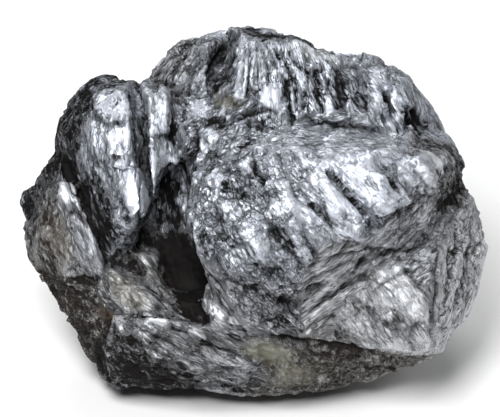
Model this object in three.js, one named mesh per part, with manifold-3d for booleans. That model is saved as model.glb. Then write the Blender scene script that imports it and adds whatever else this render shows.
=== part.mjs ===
// A hand specimen of lump graphite: one solid, as it broke out of its vein.
//
// The lump is a knot of overlapping blocks. Each block is the convex hull of its corners. The
// blocks and the ridges that stand on them are joined into one solid, the faces are cut up finely
// enough to carry relief, and hummocks and pits are pushed into them. The underside is cut flat
// where the lump rests.
//
// Units are millimetres. Corners are written as a viewer in front of the lump would read them off:
// [right, up, out], out being towards the viewer, who looks down at the lump by LOOK_DOWN degrees.
// The finished part stands on z = 0, +X to the viewer's right, -Y towards the viewer, +Z up.

import * as THREE from "three";
import { ConvexGeometry } from "three/addons/geometries/ConvexGeometry.js";
import { ImprovedNoise } from "three/addons/math/ImprovedNoise.js";
import { mergeVertices } from "three/addons/utils/BufferGeometryUtils.js";
import Module from "manifold-3d";

// ---- Driving dimensions ----
const LOOK_DOWN = 30;
const REST_DEPTH = 36; // from the viewer's centre straight down to the resting face
const VIEWER_CENTRE = [0, -5.7, REST_DEPTH]; // in the part's frame, whose origin is mid-base
const LONGEST_EDGE = 4.1; // every triangle edge ends shorter than this
const SHORTEST_EDGE = 1.9; // and is closed up if it is shorter than this
const TURN_LIMIT = 0.6; // cosine of the most that closing an edge may turn a face
const HUMMOCK = { length: 15, height: 1.6 };
const PIT = { length: 6, height: 0.9 };
const RIDGE_ROOT = 5; // how deep a ridge is let into the block that carries it
const RIDGE_END = 0.12; // the share of a ridge's length over which its top runs out at each end

// ---- The blocks ----
// The inner blocks fill the hollows that the outer ones would leave between them.
const INNER_BLOCKS = {
  core: [
    [-36, 20, -8], [-40, 0, -10], [-38, -12, -10], [-30, -26, -6], [0, -33, -4], [28, -28, -6],
    [42, -10, -10], [39, 18, -12], [20, 28, -10], [-5, 33, -10], [-22.5, 28.8, -8], [-30, 24, -8],
    [-28, 10, 7], [-22, -8, 0], [-14, -6, -3], [0, 12, 10], [25, 8, 10], [22, -18, 8],
    [-15, -24, 2], [-25, 15, -30], [-28, -5, -32], [-15, -22, -34], [15, -22, -36], [30, 0, -34],
    [25, 18, -28], [0, 24, -30],
  ],
  front_core: [
    [-10, -15, 14], [-9, 4, 20], [0, 14, 15], [26, 12, 17], [37, 12, 7], [38, 1, 8],
    [38, -24, 9], [10, -25, 14], [0, -22, 16], [8, -8, 23], [26, 0, 22], [24, -10, 16],
    [41, 8, -6], [42, -6, -6], [30, -28, 2], [0, -27, 4], [-10, -20, 4], [-8, 10, 4],
    [7, -24.2, 18.8], [8.6, -19.6, 21],
  ],
  top_core: [
    [-25, 28, -4], [-11, 33.5, 0], [-1, 36.5, -1], [12, 34.5, -1], [30, 27, -4], [36.5, 19, -8],
    [30, 18, 2], [12, 19, 10], [-4, 22, 8], [-15, 20, 7], [-19, 24, -20], [-4, 33, -20],
    [8, 33, -22], [22, 28, -22], [34, 16, -22],
  ],
  crest_core: [
    [-5, 26, 9], [-1, 19.5, 13.5], [14, 15, 13.5], [30, 15, 9], [32.5, 20, 4], [28, 26, 4],
    [10, 33, 4], [-4, 35, 2], [-13, 21.8, 8.5], [-3, 10, 14], [2.4, 17.2, 15], [28, 8, 10],
    [10, 12, -10], [-12, 22, -10], [33, 17, -8],
  ],
  left_core: [
    [-36, 25, -3], [-24, 27, -1], [-19, 26, -2], [-40.5, 12, -1], [-34, 22, 7], [-26, 23, 10],
    [-20, 20, 11], [-20, 6, 10], [-25, 2, 13], [-32, 3, 9], [-37, 0, 5], [-43, -4, -1],
    [-42.5, -10, -1], [-38, -15, 4], [-32, -14, 7], [-27, -14, 7], [-26, -9, 6],
    [-35, 20, -18], [-40, 0, -16], [-22, 16, -24], [-21.5, 26, -9],
  ],
  saddle_root: [
    [-20, 24, 6], [-20, 10.5, 8], [-9, 23.4, 7], [-9, 9, 8], [-17.2, 20, 10.8], [-17, 12, 13],
    [-12, 12, 14.5], [-12, 20, 11.5], [-17, 15, 12.8], [-20, 25, -8], [-9, 22, -8], [-19, 11, -6],
    [-9, 9, -6],
  ],
  low_core: [
    [-41, -14.5, 0], [-33, -19, 6], [-32, -34, 1], [-29, -26, 8], [-30, -17, 8], [-26, -17, 10],
    [-14, -24, 13], [0, -27, 13], [20, -31, 8], [34, -30, 3], [20, -35, 0], [0, -37, 1],
    [-22, -36, -1], [-34, -18, -18], [28, -28, -22], [-12, -17, 6], [-12, -21.5, 16],
    [-4.2, -23.6, 19.2], [3, -23, 18], [12, -25, 17], [-6, -24.4, 17.5], [2.4, -26.2, 18.3],
  ],
  gully_floor: [
    [-36, -11, 3], [-36, -19, 2], [-26, -8, 3.5], [-18, -8, 0], [-15, -21, 4], [-18, -23, 8],
    [-28, -20, 7], [-30, -12, 6], [-24, -14, 4], [-30, -10, -12], [-15, -14, -12],
  ],
};

// The outer blocks are the faces that show: the fluted crest behind, the column and the shard at
// the left, the nose and the belly in the middle, the slab at the right, and the back.
const OUTER_BLOCKS = {
  crest: [
    [-7, 23, 13], [-5.6, 39.3, 0], [-2, 40.6, -4], [1, 40.2, -5], [10, 38, -5],
    [15.5, 35.8, -5], [19.5, 34.4, -5], [-3, 37.4, 8], [9, 35.6, 9], [17, 32.8, 9.5], [23, 29, 10],
    [4, 17, 16], [15, 16, 16.5], [25, 14, 16], [-3, 30, -30], [15, 28, -28],
  ],
  crest_left: [
    [-26, 26.5, -3], [-22.4, 29.6, -3], [-20.8, 31.6, -4], [-18.6, 35, -5], [-15.6, 36.8, -6],
    [-10, 38.2, -6], [-5, 39.8, -6], [-19, 27, 9], [-9.5, 24, 11], [-17, 33, 6], [-10, 36, 4],
    [-13.5, 22, 11], [-17, 22, 8], [-6, 30, -28], [-18, 24, -24],
  ],
  crest_right: [
    [16, 34.8, -4], [20, 34.4, -5], [25, 33.8, -7], [32, 30.4, -9], [34.7, 26.8, -10],
    [37.3, 23.3, -11], [40, 19, -11], [43, 14, -12], [20, 32, 7], [24, 31, 8.5], [30, 26, 7.5],
    [33, 22, 5], [33, 17, 8], [22, 18, 14], [20, 26, 12.5], [20, 26, -26], [34, 18, -20],
  ],
  column: [
    [-44.5, 10.5, -3], [-37, 27, 0], [-34.8, 28.7, -1], [-31.5, 29.1, -1], [-24, 28.7, 0], [-42, 19.5, -1],
    [-43.7, 15.5, -2], [-43.9, 12, -2], [-34, 25.5, 12], [-27.5, 25.5, 15], [-26, 20, 17.5],
    [-35, 18, 15], [-32, 10, 17], [-25.5, 8, 19.5], [-24.5, 0, 18.5], [-29, 0, 17],
    [-30.3, -9.8, 10], [-34, -3, 10], [-40.2, 12, 5], [-39, 20, 6], [-24.5, -6, 11],
    [-34, 24, -16], [-25, 26, -18], [-40, 12, -14],
  ],
  column_top_plate: [
    [-34.5, 25.2, 13], [-31, 25.8, 14.5], [-27, 25, 16.5], [-26.2, 20.3, 19.3], [-29.5, 19, 19.5],
    [-34, 20.5, 16.5], [-30, 22, 8],
  ],
  column_middle_plate: [
    [-31.8, 19, 18], [-26, 19.4, 19.6], [-24.6, 12, 21.6], [-26.5, 10.2, 21.6], [-30.5, 11, 19.6],
    [-28, 15, 8],
  ],
  column_low_plate: [
    [-28.6, 9.5, 20.4], [-24, 9.5, 21.4], [-22.9, 0.8, 22.4], [-24.8, -0.5, 22.2],
    [-27.4, 2.5, 21.4], [-26, 4, 8],
  ],
  column_right: [
    [-24, 28.4, 3], [-17, 28, 4], [-22.8, 24.8, 15.5], [-18.3, 24.5, 16.3], [-22.3, 14, 18],
    [-18, 16, 16], [-21.8, 8, 17.5], [-20.6, 0, 17], [-21.4, 0, 17.4], [-16, 22, 10],
    [-19, 8, 12], [-20, 20, -5],
  ],
  column_wedge: [
    [-20, 15, 14.5], [-17.5, 15.3, 14.6], [-16, 12.6, 13.6], [-17, 9, 13.4], [-19.4, 11, 15.2],
    [-19, 12, 8],
  ],
  shard: [
    [-45.2, 11, -2], [-45.9, 7, -2], [-46.8, 2, -3], [-47, -2, -3], [-48.9, -5, -4],
    [-49, -8.5, -4], [-47.3, -12, -3], [-44.9, -14.8, -1], [-41, 11, 6], [-37, 3.5, 10.5],
    [-41.5, 5.8, 8.6], [-38.9, -2, 11.5], [-36, 0.5, 11], [-32, -8.8, 11.5], [-38.2, -9.5, 12.5],
    [-30.5, -13.5, 10.5], [-40, -15, 6], [-45.5, -5, 6], [-42, 0, -18],
  ],
  nub: [
    [-50.9, 5.2, -8], [-51.1, 2.4, -9], [-50, 0, -8], [-47.5, -2.6, -7], [-46, 7.2, -7],
    [-43, 8, -4], [-43, -2, -4], [-48, 4, -4], [-46, 5, -17], [-44, 0, -16],
  ],
  nose: [
    [0, 19, 16], [16, 17.8, 16.5], [27, 16.3, 14.5], [36, 14.8, 10], [40, 19.4, -9], [43, 16.8, -4],
    [44.8, 12.8, -2], [45.4, 9.8, -1], [44.9, 6, 0], [42.7, 3.5, 3], [39.3, -1, 9],
    [36.2, -5.5, 13], [32.5, -8.2, 16], [26, -7.6, 21], [10, 11.3, 28.6], [23, 11.7, 28.2],
    [33, 11, 24.5], [39, 10.5, 18.5], [42, 7, 11], [25, -4, 28], [20, -5, 30], [12, -3, 30.5],
    [30, -1.6, 26], [37, 2, 18.5], [10, 5, 0],
  ],
  belly: [
    [-13.8, 9, 19], [-14, 3, 22], [-13, -5, 22.5], [-11, -12.5, 20], [-10, -15, 18],
    [-8, 5, 26.5], [-6, -8, 27], [2, 11, 27.5], [12, 8, 29.5], [12, -6, 30], [2, -3, 30.5],
    [0, -10, 28.5], [8, -12, 28], [14, -12.5, 25.5], [24, -8, 23.5], [0, -18, 23.5],
    [8, -20, 21], [-8, -16, 21], [-4, 15, 21], [3, 19, 15.5], [14, -18, 20], [-5, 5, 0],
    [10, -10, 0],
  ],
  apron: [
    [-10, -12.5, 19.5], [-11.5, -17.5, 15.5], [-3, -24.5, 19.5], [3, -27.5, 19.5],
    [8, -26, 19], [9, -19, 21.5], [8, -13, 26], [0, -12, 27], [-5, -16, 22.5], [0, -15, 0],
  ],
  saddle: [
    [-17.6, 19, 11.5], [-16, 23, 10], [-17.4, 12, 12], [-6, 24.8, 9], [0, 22.3, 11], [3.5, 20.6, 13],
    [-15, 10, 13], [-14.3, 5, 16], [-8, 19, 14], [-2, 18, 17], [-10, 12, 18.5], [-3, 12, 23],
    [-9, 22, 1], [-5, 10, 0], [2, 16, 14.6],
  ],
  slab: [
    [5.5, -26.8, 20.2], [7, -21, 21], [12, -16.5, 22], [24, -8, 18.5], [33, -8.5, 16],
    [39, -5, 12], [38.8, -14, 16.5], [38, -20, 17], [36.8, -29, 15.5], [24, -29.8, 17.6],
    [12, -28.4, 19.2], [41, 2, 7], [44.6, 7.2, 0], [47.4, 3, 2], [49.2, -1, 1], [50.75, -5, 0],
    [50.75, -8, 1], [49.7, -11.5, 2], [48.2, -15, 3], [47, -18.3, 3], [45.4, -21.7, 3],
    [43.5, -25.2, 4], [41.6, -28.6, 5], [40.6, -30.6, 5], [44, -5, -24], [38, -22, -22],
    [20, -10, -5],
  ],
  lower_front: [
    [-29.5, -21.5, 14], [-22, -22, 18.5], [-13, -22.8, 19.6], [-5, -23.4, 19.8], [2, -25.4, 19],
    [-30.5, -27, 13.5], [-31.2, -33, 8], [-33, -35.3, 2], [-29.5, -37, 2], [-24, -38, 3],
    [-18, -37.9, 5], [-12, -38.2, 6], [-7, -38.8, 6], [0, -39.6, 4], [-20, -31, 17],
    [-10, -33, 16.5], [0, -33, 15], [-24, -25, 17.5], [-20, -25, -5], [0, -25, -5],
  ],
  underside: [
    [0, -26, 18], [3, -26.2, 18.6], [10, -27.4, 18.2], [20, -28.9, 16.5], [30, -29.6, 13.6],
    [39, -31.8, 4], [36.5, -33.2, 1], [29.7, -35.2, 1], [24.5, -37.1, 1], [19.5, -38.6, 1],
    [14, -39.6, 1.5], [5, -40.2, 2.5], [-3, -39.8, 3], [5, -34.5, 13], [15, -35, 9.5],
    [5, -25, -5], [25, -20, -5],
  ],
  rusty_heel: [
    [-46.4, -13, -6], [-45.2, -15, -6], [-43.9, -18.3, -7], [-42.2, -21.7, -8], [-38.3, -25.8, -6],
    [-36, -28.8, -5], [-34.6, -32, -4], [-33, -35.6, -2], [-42, -13, 4], [-34, -15, 8],
    [-40, -10, -2], [-34, -12, 2], [-30.5, -20, 10], [-31, -30, 6], [-31, -36.5, 0],
    [-36, -15, -22], [-30, -25, -20],
  ],
  spur: [
    [-32, -10, 9], [-29, -12, 12], [-33.5, -15, 9], [-30, -19, 11], [-25, -16, 14.5],
    [-22, -21, 15], [-17, -20.5, 15], [-14, -23.8, 17], [-26, -22, 13.5], [-33, -13, 1],
    [-31, -20, 2], [-18, -23, 5], [-25, -12, 0],
  ],
  gully_side: [
    [-27, -8, 7.5], [-24, -9, 9], [-20.5, -9, 6.5], [-19, -18, 8.5], [-19, -21, 12],
    [-24, -15, 12], [-26, -9, 1], [-20, -8, -2], [-20, -20, 0],
  ],
  leaf: [
    [-12.3, -18, 14], [-10.5, -22.8, 16.5], [-7, -18.5, 19], [-3, -22, 20.5], [-2.5, -24, 20.3],
    [-8, -24, 19.3], [-6, -20, 0], [0, -20, 5],
  ],
  foot: [
    [-24, -36.5, -10], [-8, -38, -8.5], [8, -38.8, -8], [22, -36.5, -11], [30, -31, -20],
    [29, -25, -32], [8, -22, -37.5], [-14, -22.5, -36.5], [-27, -27, -29], [-29, -33, -17],
    [0, -20, 0],
  ],
  back_ridge: [
    [-35, 26, -5], [-27, 27.5, -5], [-21, 29.5, -8], [-16, 32, -12], [-36, 18, -16],
    [-24, 24, -18], [-15, 28, -20], [-22, 10, -18], [-26, 12, 0],
  ],
  back_face: [
    [-20, 31.5, -16], [-4, 36, -20.5], [6, 37, -16.5], [26, 32, -11.5], [20, 31, -22],
    [33, 23.5, -24.5], [30, 12, -39], [14, 4.5, -46], [-6, 9, -41.5], [-22, 23, -31.5],
    [-26, 25, -23.5], [0, 6.5, -3],
  ],
  back_toe: [
    [34, 12.5, -27], [39, -8, -28.5], [28, -11, -40.5], [8, -9, -46.5], [-8, -7.5, -43],
    [-9, 2, -43], [10, 5, -44], [30, 9.5, -37], [0, -15.5, -15.5],
    [12, 4, -24],
  ],
  back_flank: [
    [-24, 27.5, -19.5], [-38, 21.5, -9], [-42, 2.5, -16.5], [-36, -8, -34.5], [-20, -9, -43],
    [-10, -0.5, -43], [-14, 13.5, -35.5], [-24, 21.5, -29], [-32, 9, -31.5], [-15, -2.5, -8],
  ],
  back_shoulder: [
    [28, 29.5, -7], [38, 20, -4.5], [44, 3, -9.5], [42, -5.5, -26], [36, 15.5, -23],
    [31, 27, -18.5], [15, 6.5, -3],
  ],
  back_ledge: [
    [-2, 27, -30.5], [14, 31.5, -26.5], [24, 23, -31.5], [16, 19.5, -38], [2, 19.5, -37.5],
    [8, 16.5, -20.5],
  ],
};

// ---- Ridges that stand on the blocks ----
// Each runs from one point to another along its sharp top, and falls away to both sides.
const NOSE_RIBS = [
  { from: [5.2, 5.4, 30.8], to: [12.8, -3.8, 31.8], width: 7, rise: 2, lean: 0.7 },
  { from: [11.6, 8.8, 30.9], to: [20.8, -3, 32], width: 7.5, rise: 2.4, lean: 0.7 },
  { from: [20.2, 10.8, 30.8], to: [29.4, -0.6, 29.8], width: 9, rise: 2.8, lean: 0.7 },
  { from: [31, 10.4, 27.6], to: [37.6, 3, 21.8], width: 7, rise: 2.2, lean: 0.6 },
  { from: [-3.5, -1.5, 31], to: [2.5, -11.5, 29.6], width: 6, rise: 1.8, lean: 0.6 },
  { from: [5.5, -3, 31.8], to: [12.2, -11.8, 28.4], width: 6, rise: 1.8, lean: 0.6 },
];
const CREST_FLUTES = {
  count: 7,
  foot: [[-4.5, 22.5, 15.4], [28.5, 17.2, 16.2]],
  head: [[-2.6, 36.4, 10], [27.5, 29.5, 10]],
  width: 5,
  rise: 1.5,
  lean: 0.5,
};

const wasm = await Module();
wasm.setup();

// ---- Solids and geometries ----
const lean = new THREE.Matrix4().makeRotationX(-THREE.MathUtils.degToRad(LOOK_DOWN));
const corner = ([right, up, out]) => new THREE.Vector3(right, -out, up).applyMatrix4(lean);

function solidOf(geometry) {
  const bare = geometry.clone();
  bare.deleteAttribute("normal");
  bare.deleteAttribute("uv");
  const merged = mergeVertices(bare, 1e-4);
  return new wasm.Manifold(
    new wasm.Mesh({
      numProp: 3,
      vertProperties: new Float32Array(merged.attributes.position.array),
      triVerts: new Uint32Array(merged.index.array),
    }),
  );
}

function geometryOf(solid) {
  const { numProp, vertProperties, triVerts } = solid.getMesh();
  const points = new Float32Array((vertProperties.length / numProp) * 3);
  for (let i = 0; i < points.length / 3; i++)
    points.set(vertProperties.subarray(i * numProp, i * numProp + 3), i * 3);
  return new THREE.BufferGeometry()
    .setAttribute("position", new THREE.BufferAttribute(points, 3))
    .setIndex(new THREE.BufferAttribute(new Uint32Array(triVerts), 1));
}

const block = (corners) => solidOf(new ConvexGeometry(corners.map(corner)));

// A roof-shaped solid. Its eaves lie `rise` below the two points, half the width to each side, and
// its top edge runs from one point to the other, moved by the lean's share of the half width, which
// makes one slope long and gentle and the other short and steep.
function ridge({ from, to, width, rise, lean }) {
  const [start, end] = [new THREE.Vector3(...from), new THREE.Vector3(...to)];
  const across = new THREE.Vector3(start.y - end.y, end.x - start.x, 0).setLength(width / 2);
  const under = (point, depth) => point.clone().setZ(point.z - depth);
  const top = (point, other) =>
    point.clone().lerp(other, RIDGE_END).setZ(point.z).addScaledVector(across, lean);
  return block([
    top(start, end), top(end, start),
    ...[start, end].flatMap((point) => [
      under(point, rise).add(across), under(point, rise).sub(across), under(point, RIDGE_ROOT),
    ]),
  ]);
}

function flutes({ count, foot, head, ...shape }) {
  const along = ([first, last], t) => first.map((x, i) => THREE.MathUtils.lerp(x, last[i], t));
  return Array.from({ length: count }, (_, i) => {
    const t = (i + 0.5) / count;
    return ridge({ from: along(foot, t), to: along(head, t), ...shape });
  });
}

// ---- Cutting the faces up ----
// Splits the longest edge of every triangle that has one over the limit, until none is left. An
// edge is split once for both its triangles, so the surface stays closed.
function cutUp(geometry, limit) {
  const points = [];
  const { position } = geometry.attributes;
  for (let i = 0; i < position.count; i++)
    points.push(new THREE.Vector3().fromBufferAttribute(position, i));
  let triangles = [];
  for (let i = 0; i < geometry.index.count; i += 3)
    triangles.push([0, 1, 2].map((k) => geometry.index.getX(i + k)));
  const key = (a, b) => (a < b ? a + "_" + b : b + "_" + a);
  for (;;) {
    const middles = new Map();
    for (const t of triangles) {
      const lengths = t.map((a, k) => points[a].distanceTo(points[t[(k + 1) % 3]]));
      const k = lengths.indexOf(Math.max(...lengths));
      const edge = key(t[k], t[(k + 1) % 3]);
      if (lengths[k] <= limit || middles.has(edge)) continue;
      middles.set(edge, points.length);
      points.push(points[t[k]].clone().lerp(points[t[(k + 1) % 3]], 0.5));
    }
    if (!middles.size) break;
    triangles = triangles.flatMap((t) => splitTriangle(t, (a, b) => middles.get(key(a, b))));
  }
  return { points, triangles };
}

// One triangle with a middle point on none, one, two or three of its edges.
function splitTriangle([a, b, c], middle) {
  const [ab, bc, ca] = [middle(a, b), middle(b, c), middle(c, a)];
  if (ab !== undefined && bc !== undefined && ca !== undefined)
    return [[a, ab, ca], [ab, b, bc], [ca, bc, c], [ab, bc, ca]];
  if (ab === undefined && bc === undefined && ca === undefined) return [[a, b, c]];
  if (ab === undefined) return splitTriangle([b, c, a], middle);
  if (bc !== undefined) return [[a, ab, c], [ab, b, bc], [ab, bc, c]];
  if (ca !== undefined) return [[a, ab, ca], [ab, b, c], [ca, ab, c]];
  return [[a, ab, c], [ab, b, c]];
}

// Closes every edge under the limit onto its middle, shortest first, unless that would pinch the
// surface or turn a face over.
function closeUp({ points, triangles }, limit) {
  const around = points.map(() => new Set());
  triangles.forEach((t, i) => t.forEach((a) => around[a].add(i)));
  const ring = (a) => new Set([...around[a]].flatMap((i) => triangles[i]));
  const facing = ([a, b, c]) =>
    new THREE.Vector3().subVectors(b, a).cross(new THREE.Vector3().subVectors(c, a)).normalize();
  const edges = triangles
    .flatMap((t) => t.map((a, k) => [a, t[(k + 1) % 3]]))
    .filter(([a, b]) => a < b && points[a].distanceTo(points[b]) < limit)
    .sort((p, q) => points[p[0]].distanceTo(points[p[1]]) - points[q[0]].distanceTo(points[q[1]]));
  let closed = 0;
  for (const [a, b] of edges) {
    const shared = [...around[a]].filter((i) => around[b].has(i));
    if (shared.length !== 2 || points[a].distanceTo(points[b]) >= limit) continue;
    const ringB = ring(b);
    if ([...ring(a)].filter((v) => ringB.has(v)).length !== 4) continue;
    const middle = points[a].clone().lerp(points[b], 0.5);
    const kept = [...around[a], ...around[b]].filter((i) => !shared.includes(i));
    const holds = kept.every((i) => {
      const before = triangles[i].map((v) => points[v]);
      const after = triangles[i].map((v) => (v === a || v === b ? middle : points[v]));
      return facing(before).dot(facing(after)) > TURN_LIMIT;
    });
    if (!holds) continue;
    points[a] = middle;
    for (const i of around[b]) {
      triangles[i] = triangles[i].map((v) => (v === b ? a : v));
      around[a].add(i);
    }
    around[b].clear();
    for (const i of shared) {
      for (const v of triangles[i]) around[v].delete(i);
      triangles[i] = null;
    }
    closed += 1;
  }
  const left = { points, triangles: triangles.filter(Boolean) };
  return closed ? closeUp(left, limit) : left;
}

// ---- Relief ----
const noise = new ImprovedNoise();
const sample = (p, length, seed) => noise.noise(p.x / length + seed, p.y / length, p.z / length);
const push = (p, { length, height }, seed) =>
  new THREE.Vector3(
    sample(p, length, seed), sample(p, length, seed + 31.7), sample(p, length, seed + 67.3),
  ).multiplyScalar(height);

function withRelief({ points, triangles }) {
  const moved = points.flatMap((p) =>
    p.clone().add(push(p, HUMMOCK, 5.1)).add(push(p, PIT, 40.9)).toArray(),
  );
  return new THREE.BufferGeometry()
    .setAttribute("position", new THREE.BufferAttribute(new Float32Array(moved), 3))
    .setIndex(triangles.flat());
}

// ---- The lump ----
const joined = [
  ...Object.values({ ...INNER_BLOCKS, ...OUTER_BLOCKS }).map(block),
  ...NOSE_RIBS.map(ridge),
  ...flutes(CREST_FLUTES),
].reduce((a, b) => a.add(b));
const fineFaces = closeUp(cutUp(geometryOf(joined), LONGEST_EDGE), SHORTEST_EDGE);
const rough = solidOf(withRelief(fineFaces));
const floor = new THREE.BoxGeometry(200, 200, 40).translate(0, 0, -REST_DEPTH - 20);
const cut = geometryOf(rough.subtract(solidOf(floor)));
cut.translate(...VIEWER_CENTRE);

const graphite = new THREE.MeshStandardMaterial({ color: 0x5a5d63, roughness: 0.4, metalness: 0.8 });
const lump = new THREE.Mesh(cut, graphite);
lump.name = "graphite_lump";
const specimen = new THREE.Group();
specimen.add(lump);
export default specimen;
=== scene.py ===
# %% [markdown]
# # Graphite specimen
#
# A hand specimen of lump graphite, about 100 mm wide. It is one piece of mineral: bright, almost
# metallic broken faces of flakes and flutes, set between dull, dark hollows.
#
# The CAD solid gives the lump its masses. This script copies that solid, closes its surface into
# a fine even skin, rounds off the flat facets, and then carves what a hammer and the crystals
# leave: cracks, ribs, flutes, ledges and flakes. The finest grain, under half a millimetre, is in
# the material. All of it is worked out from named values, so each run gives the same lump.

import itertools
import math
from collections import namedtuple

import bpy
import numpy as np
from mathutils import Matrix, Vector


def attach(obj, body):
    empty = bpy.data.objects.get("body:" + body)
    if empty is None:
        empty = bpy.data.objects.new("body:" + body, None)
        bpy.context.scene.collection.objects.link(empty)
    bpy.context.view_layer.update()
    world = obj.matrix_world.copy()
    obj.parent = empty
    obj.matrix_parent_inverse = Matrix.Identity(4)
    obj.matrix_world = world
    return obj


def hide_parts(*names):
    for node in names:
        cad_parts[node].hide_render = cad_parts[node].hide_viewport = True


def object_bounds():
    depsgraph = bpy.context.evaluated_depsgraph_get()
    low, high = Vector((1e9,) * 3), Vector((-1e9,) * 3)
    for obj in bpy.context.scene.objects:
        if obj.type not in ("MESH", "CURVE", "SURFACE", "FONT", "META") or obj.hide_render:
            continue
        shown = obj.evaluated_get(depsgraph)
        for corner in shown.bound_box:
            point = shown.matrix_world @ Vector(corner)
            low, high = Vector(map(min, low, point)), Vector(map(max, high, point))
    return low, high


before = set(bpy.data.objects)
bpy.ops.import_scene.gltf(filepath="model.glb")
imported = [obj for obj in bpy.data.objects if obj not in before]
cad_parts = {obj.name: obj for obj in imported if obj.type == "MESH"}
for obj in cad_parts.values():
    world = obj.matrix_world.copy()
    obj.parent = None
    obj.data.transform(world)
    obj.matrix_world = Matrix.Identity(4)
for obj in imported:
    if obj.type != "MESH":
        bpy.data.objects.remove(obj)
cad_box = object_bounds()
cad_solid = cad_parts["graphite_lump"]
print("CAD box, m:", [[round(x, 4) for x in corner] for corner in cad_box])

# %% [markdown]
# ## Directions
#
# The forms of the lump are easiest to name as a viewer sees them: so far to the right of the
# lump's middle, so far up, and so far out towards the viewer, who looks down at it by 30 degrees.
# All the carving below is written in these directions, in millimetres. The back and the two sides
# are drawn in the same way, for a viewer who has walked round the lump by a quarter turn or more.

# %% The viewer's directions
MM = 0.001
LOOK_DOWN = math.radians(30)
VIEWER_CENTRE = np.array([0, -5.7, 36.0])
RIGHT = np.array([1.0, 0, 0])
UP = np.array([0, math.sin(LOOK_DOWN), math.cos(LOOK_DOWN)])
OUT = np.array([0, -math.cos(LOOK_DOWN), math.sin(LOOK_DOWN)])
AXES = np.stack([RIGHT, UP, OUT])


def spin(turn):
    """The matrix of a turn about the upright axis, in degrees."""
    cos, sin = math.cos(math.radians(turn)), math.sin(math.radians(turn))
    return np.array([[cos, -sin, 0], [sin, cos, 0], [0, 0, 1]])


def seen(points, turn=0):
    """Points of the part, in mm, as right, up and out for a viewer so far round the lump."""
    return (points @ spin(turn) - VIEWER_CENTRE) @ AXES.T


# %% [markdown]
# ## The skin
#
# The solid's facets are several millimetres wide, far too coarse to carve. Subdividing them would
# give more faces, but uneven ones, and every cut would follow their edges. A voxel remesh lays an
# even grid of small quads over them instead, fine enough to hold a one-millimetre ledge. Smoothing
# then takes the edges off the facets, while the masses and the deep cracks between them stay.

# %% Close and round the skin
VOXEL = 0.38  # mm
SMOOTHING_PASSES = 9
SMOOTHING_SHARE = 0.5  # of the way to its neighbours that a point moves in a pass


def baked(obj):
    """The object's mesh with its modifiers worked in."""
    shown = obj.evaluated_get(bpy.context.evaluated_depsgraph_get())
    mesh = bpy.data.meshes.new_from_object(shown)
    obj.modifiers.clear()
    obj.data = mesh
    return mesh


lump = bpy.data.objects.new("graphite_surface", cad_solid.data.copy())
bpy.context.scene.collection.objects.link(lump)
lump.data.materials.clear()
lump.data.transform(Matrix.Scale(1 / MM, 4))  # into millimetres, for the carving
remesh = lump.modifiers.new("even skin", "REMESH")
remesh.mode = "VOXEL"
remesh.voxel_size = VOXEL
smooth = lump.modifiers.new("worn facets", "SMOOTH")
smooth.factor = SMOOTHING_SHARE
smooth.iterations = SMOOTHING_PASSES
skin = baked(lump)
print("skin:", len(skin.vertices), "points,", len(skin.polygons), "faces")

# %% [markdown]
# ## Noise
#
# No two flakes are alike, so the irregular relief comes from fields that give every place in space
# a value. Blender's displacement textures could do that, but not along a grain that changes from
# area to area, so three fields are written out here. `noise` is a smooth one, for swells and grit.
# `furrows` are the narrow lines along which it changes sign, for the cuts between flutes. `flakes`
# parts space into irregular cells, each a small tilted plate, which is how graphite breaks. All
# are worked out from fixed random tables, so they come out the same on every run.

# %% Noise fields
TABLE_SIZE = 4096  # a power of two, so that & brings any whole number back into the table
TABLE = np.random.default_rng(20).permutation(TABLE_SIZE)
GRADIENTS = np.random.default_rng(21).normal(size=(TABLE_SIZE, 3))
GRADIENTS /= np.linalg.norm(GRADIENTS, axis=1, keepdims=True)
JITTER = np.random.default_rng(22).random((TABLE_SIZE, 3))
FIELD_GAIN = 1.6  # brings the fields to about -1 to 1
FURROW_SHARPNESS = 1.5  # above 1, a line is narrow at its floor and eases out at its sides


def lattice(cell, seed):
    """A fixed random number, below the table's size, for each whole-numbered cell."""
    index = seed
    for axis in range(3):
        index = TABLE[(index + cell[:, axis]) & (TABLE_SIZE - 1)]
    return index


def noise(points, seed):
    """A smooth field, about -1 to 1, with swells one unit across."""
    cell = np.floor(points).astype(np.int64)
    inside = points - cell
    fade = inside**3 * (inside * (inside * 6 - 15) + 10)
    total = np.zeros(len(points))
    for corner in itertools.product((0, 1), repeat=3):
        slope = GRADIENTS[lattice(cell + corner, seed)]
        weight = np.prod(np.where(corner, fade, 1 - fade), axis=1)
        total += weight * ((inside - corner) * slope).sum(axis=1)
    return total * FIELD_GAIN


def furrows(points, seed, width):
    """Narrow lines about one unit apart: 1 in the middle of a line, 0 beside it."""
    return np.clip(1 - np.abs(noise(points, seed)) / width, 0, 1) ** FURROW_SHARPNESS


def flakes(points, seed):
    """Tilted plates about one unit across: each point's height on its plate, about -1 to 1."""
    cell = np.floor(points).astype(np.int64)
    nearest = np.full(len(points), np.inf)
    height = np.zeros(len(points))
    for step in itertools.product((-1, 0, 1), repeat=3):
        index = lattice(cell + step, seed)
        offset = points - (cell + step + JITTER[index])
        distance = (offset**2).sum(axis=1)
        closer = distance < nearest
        nearest[closer] = distance[closer]
        height[closer] = (offset[closer] * GRADIENTS[index[closer]]).sum(axis=1)
    return height * FIELD_GAIN
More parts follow.
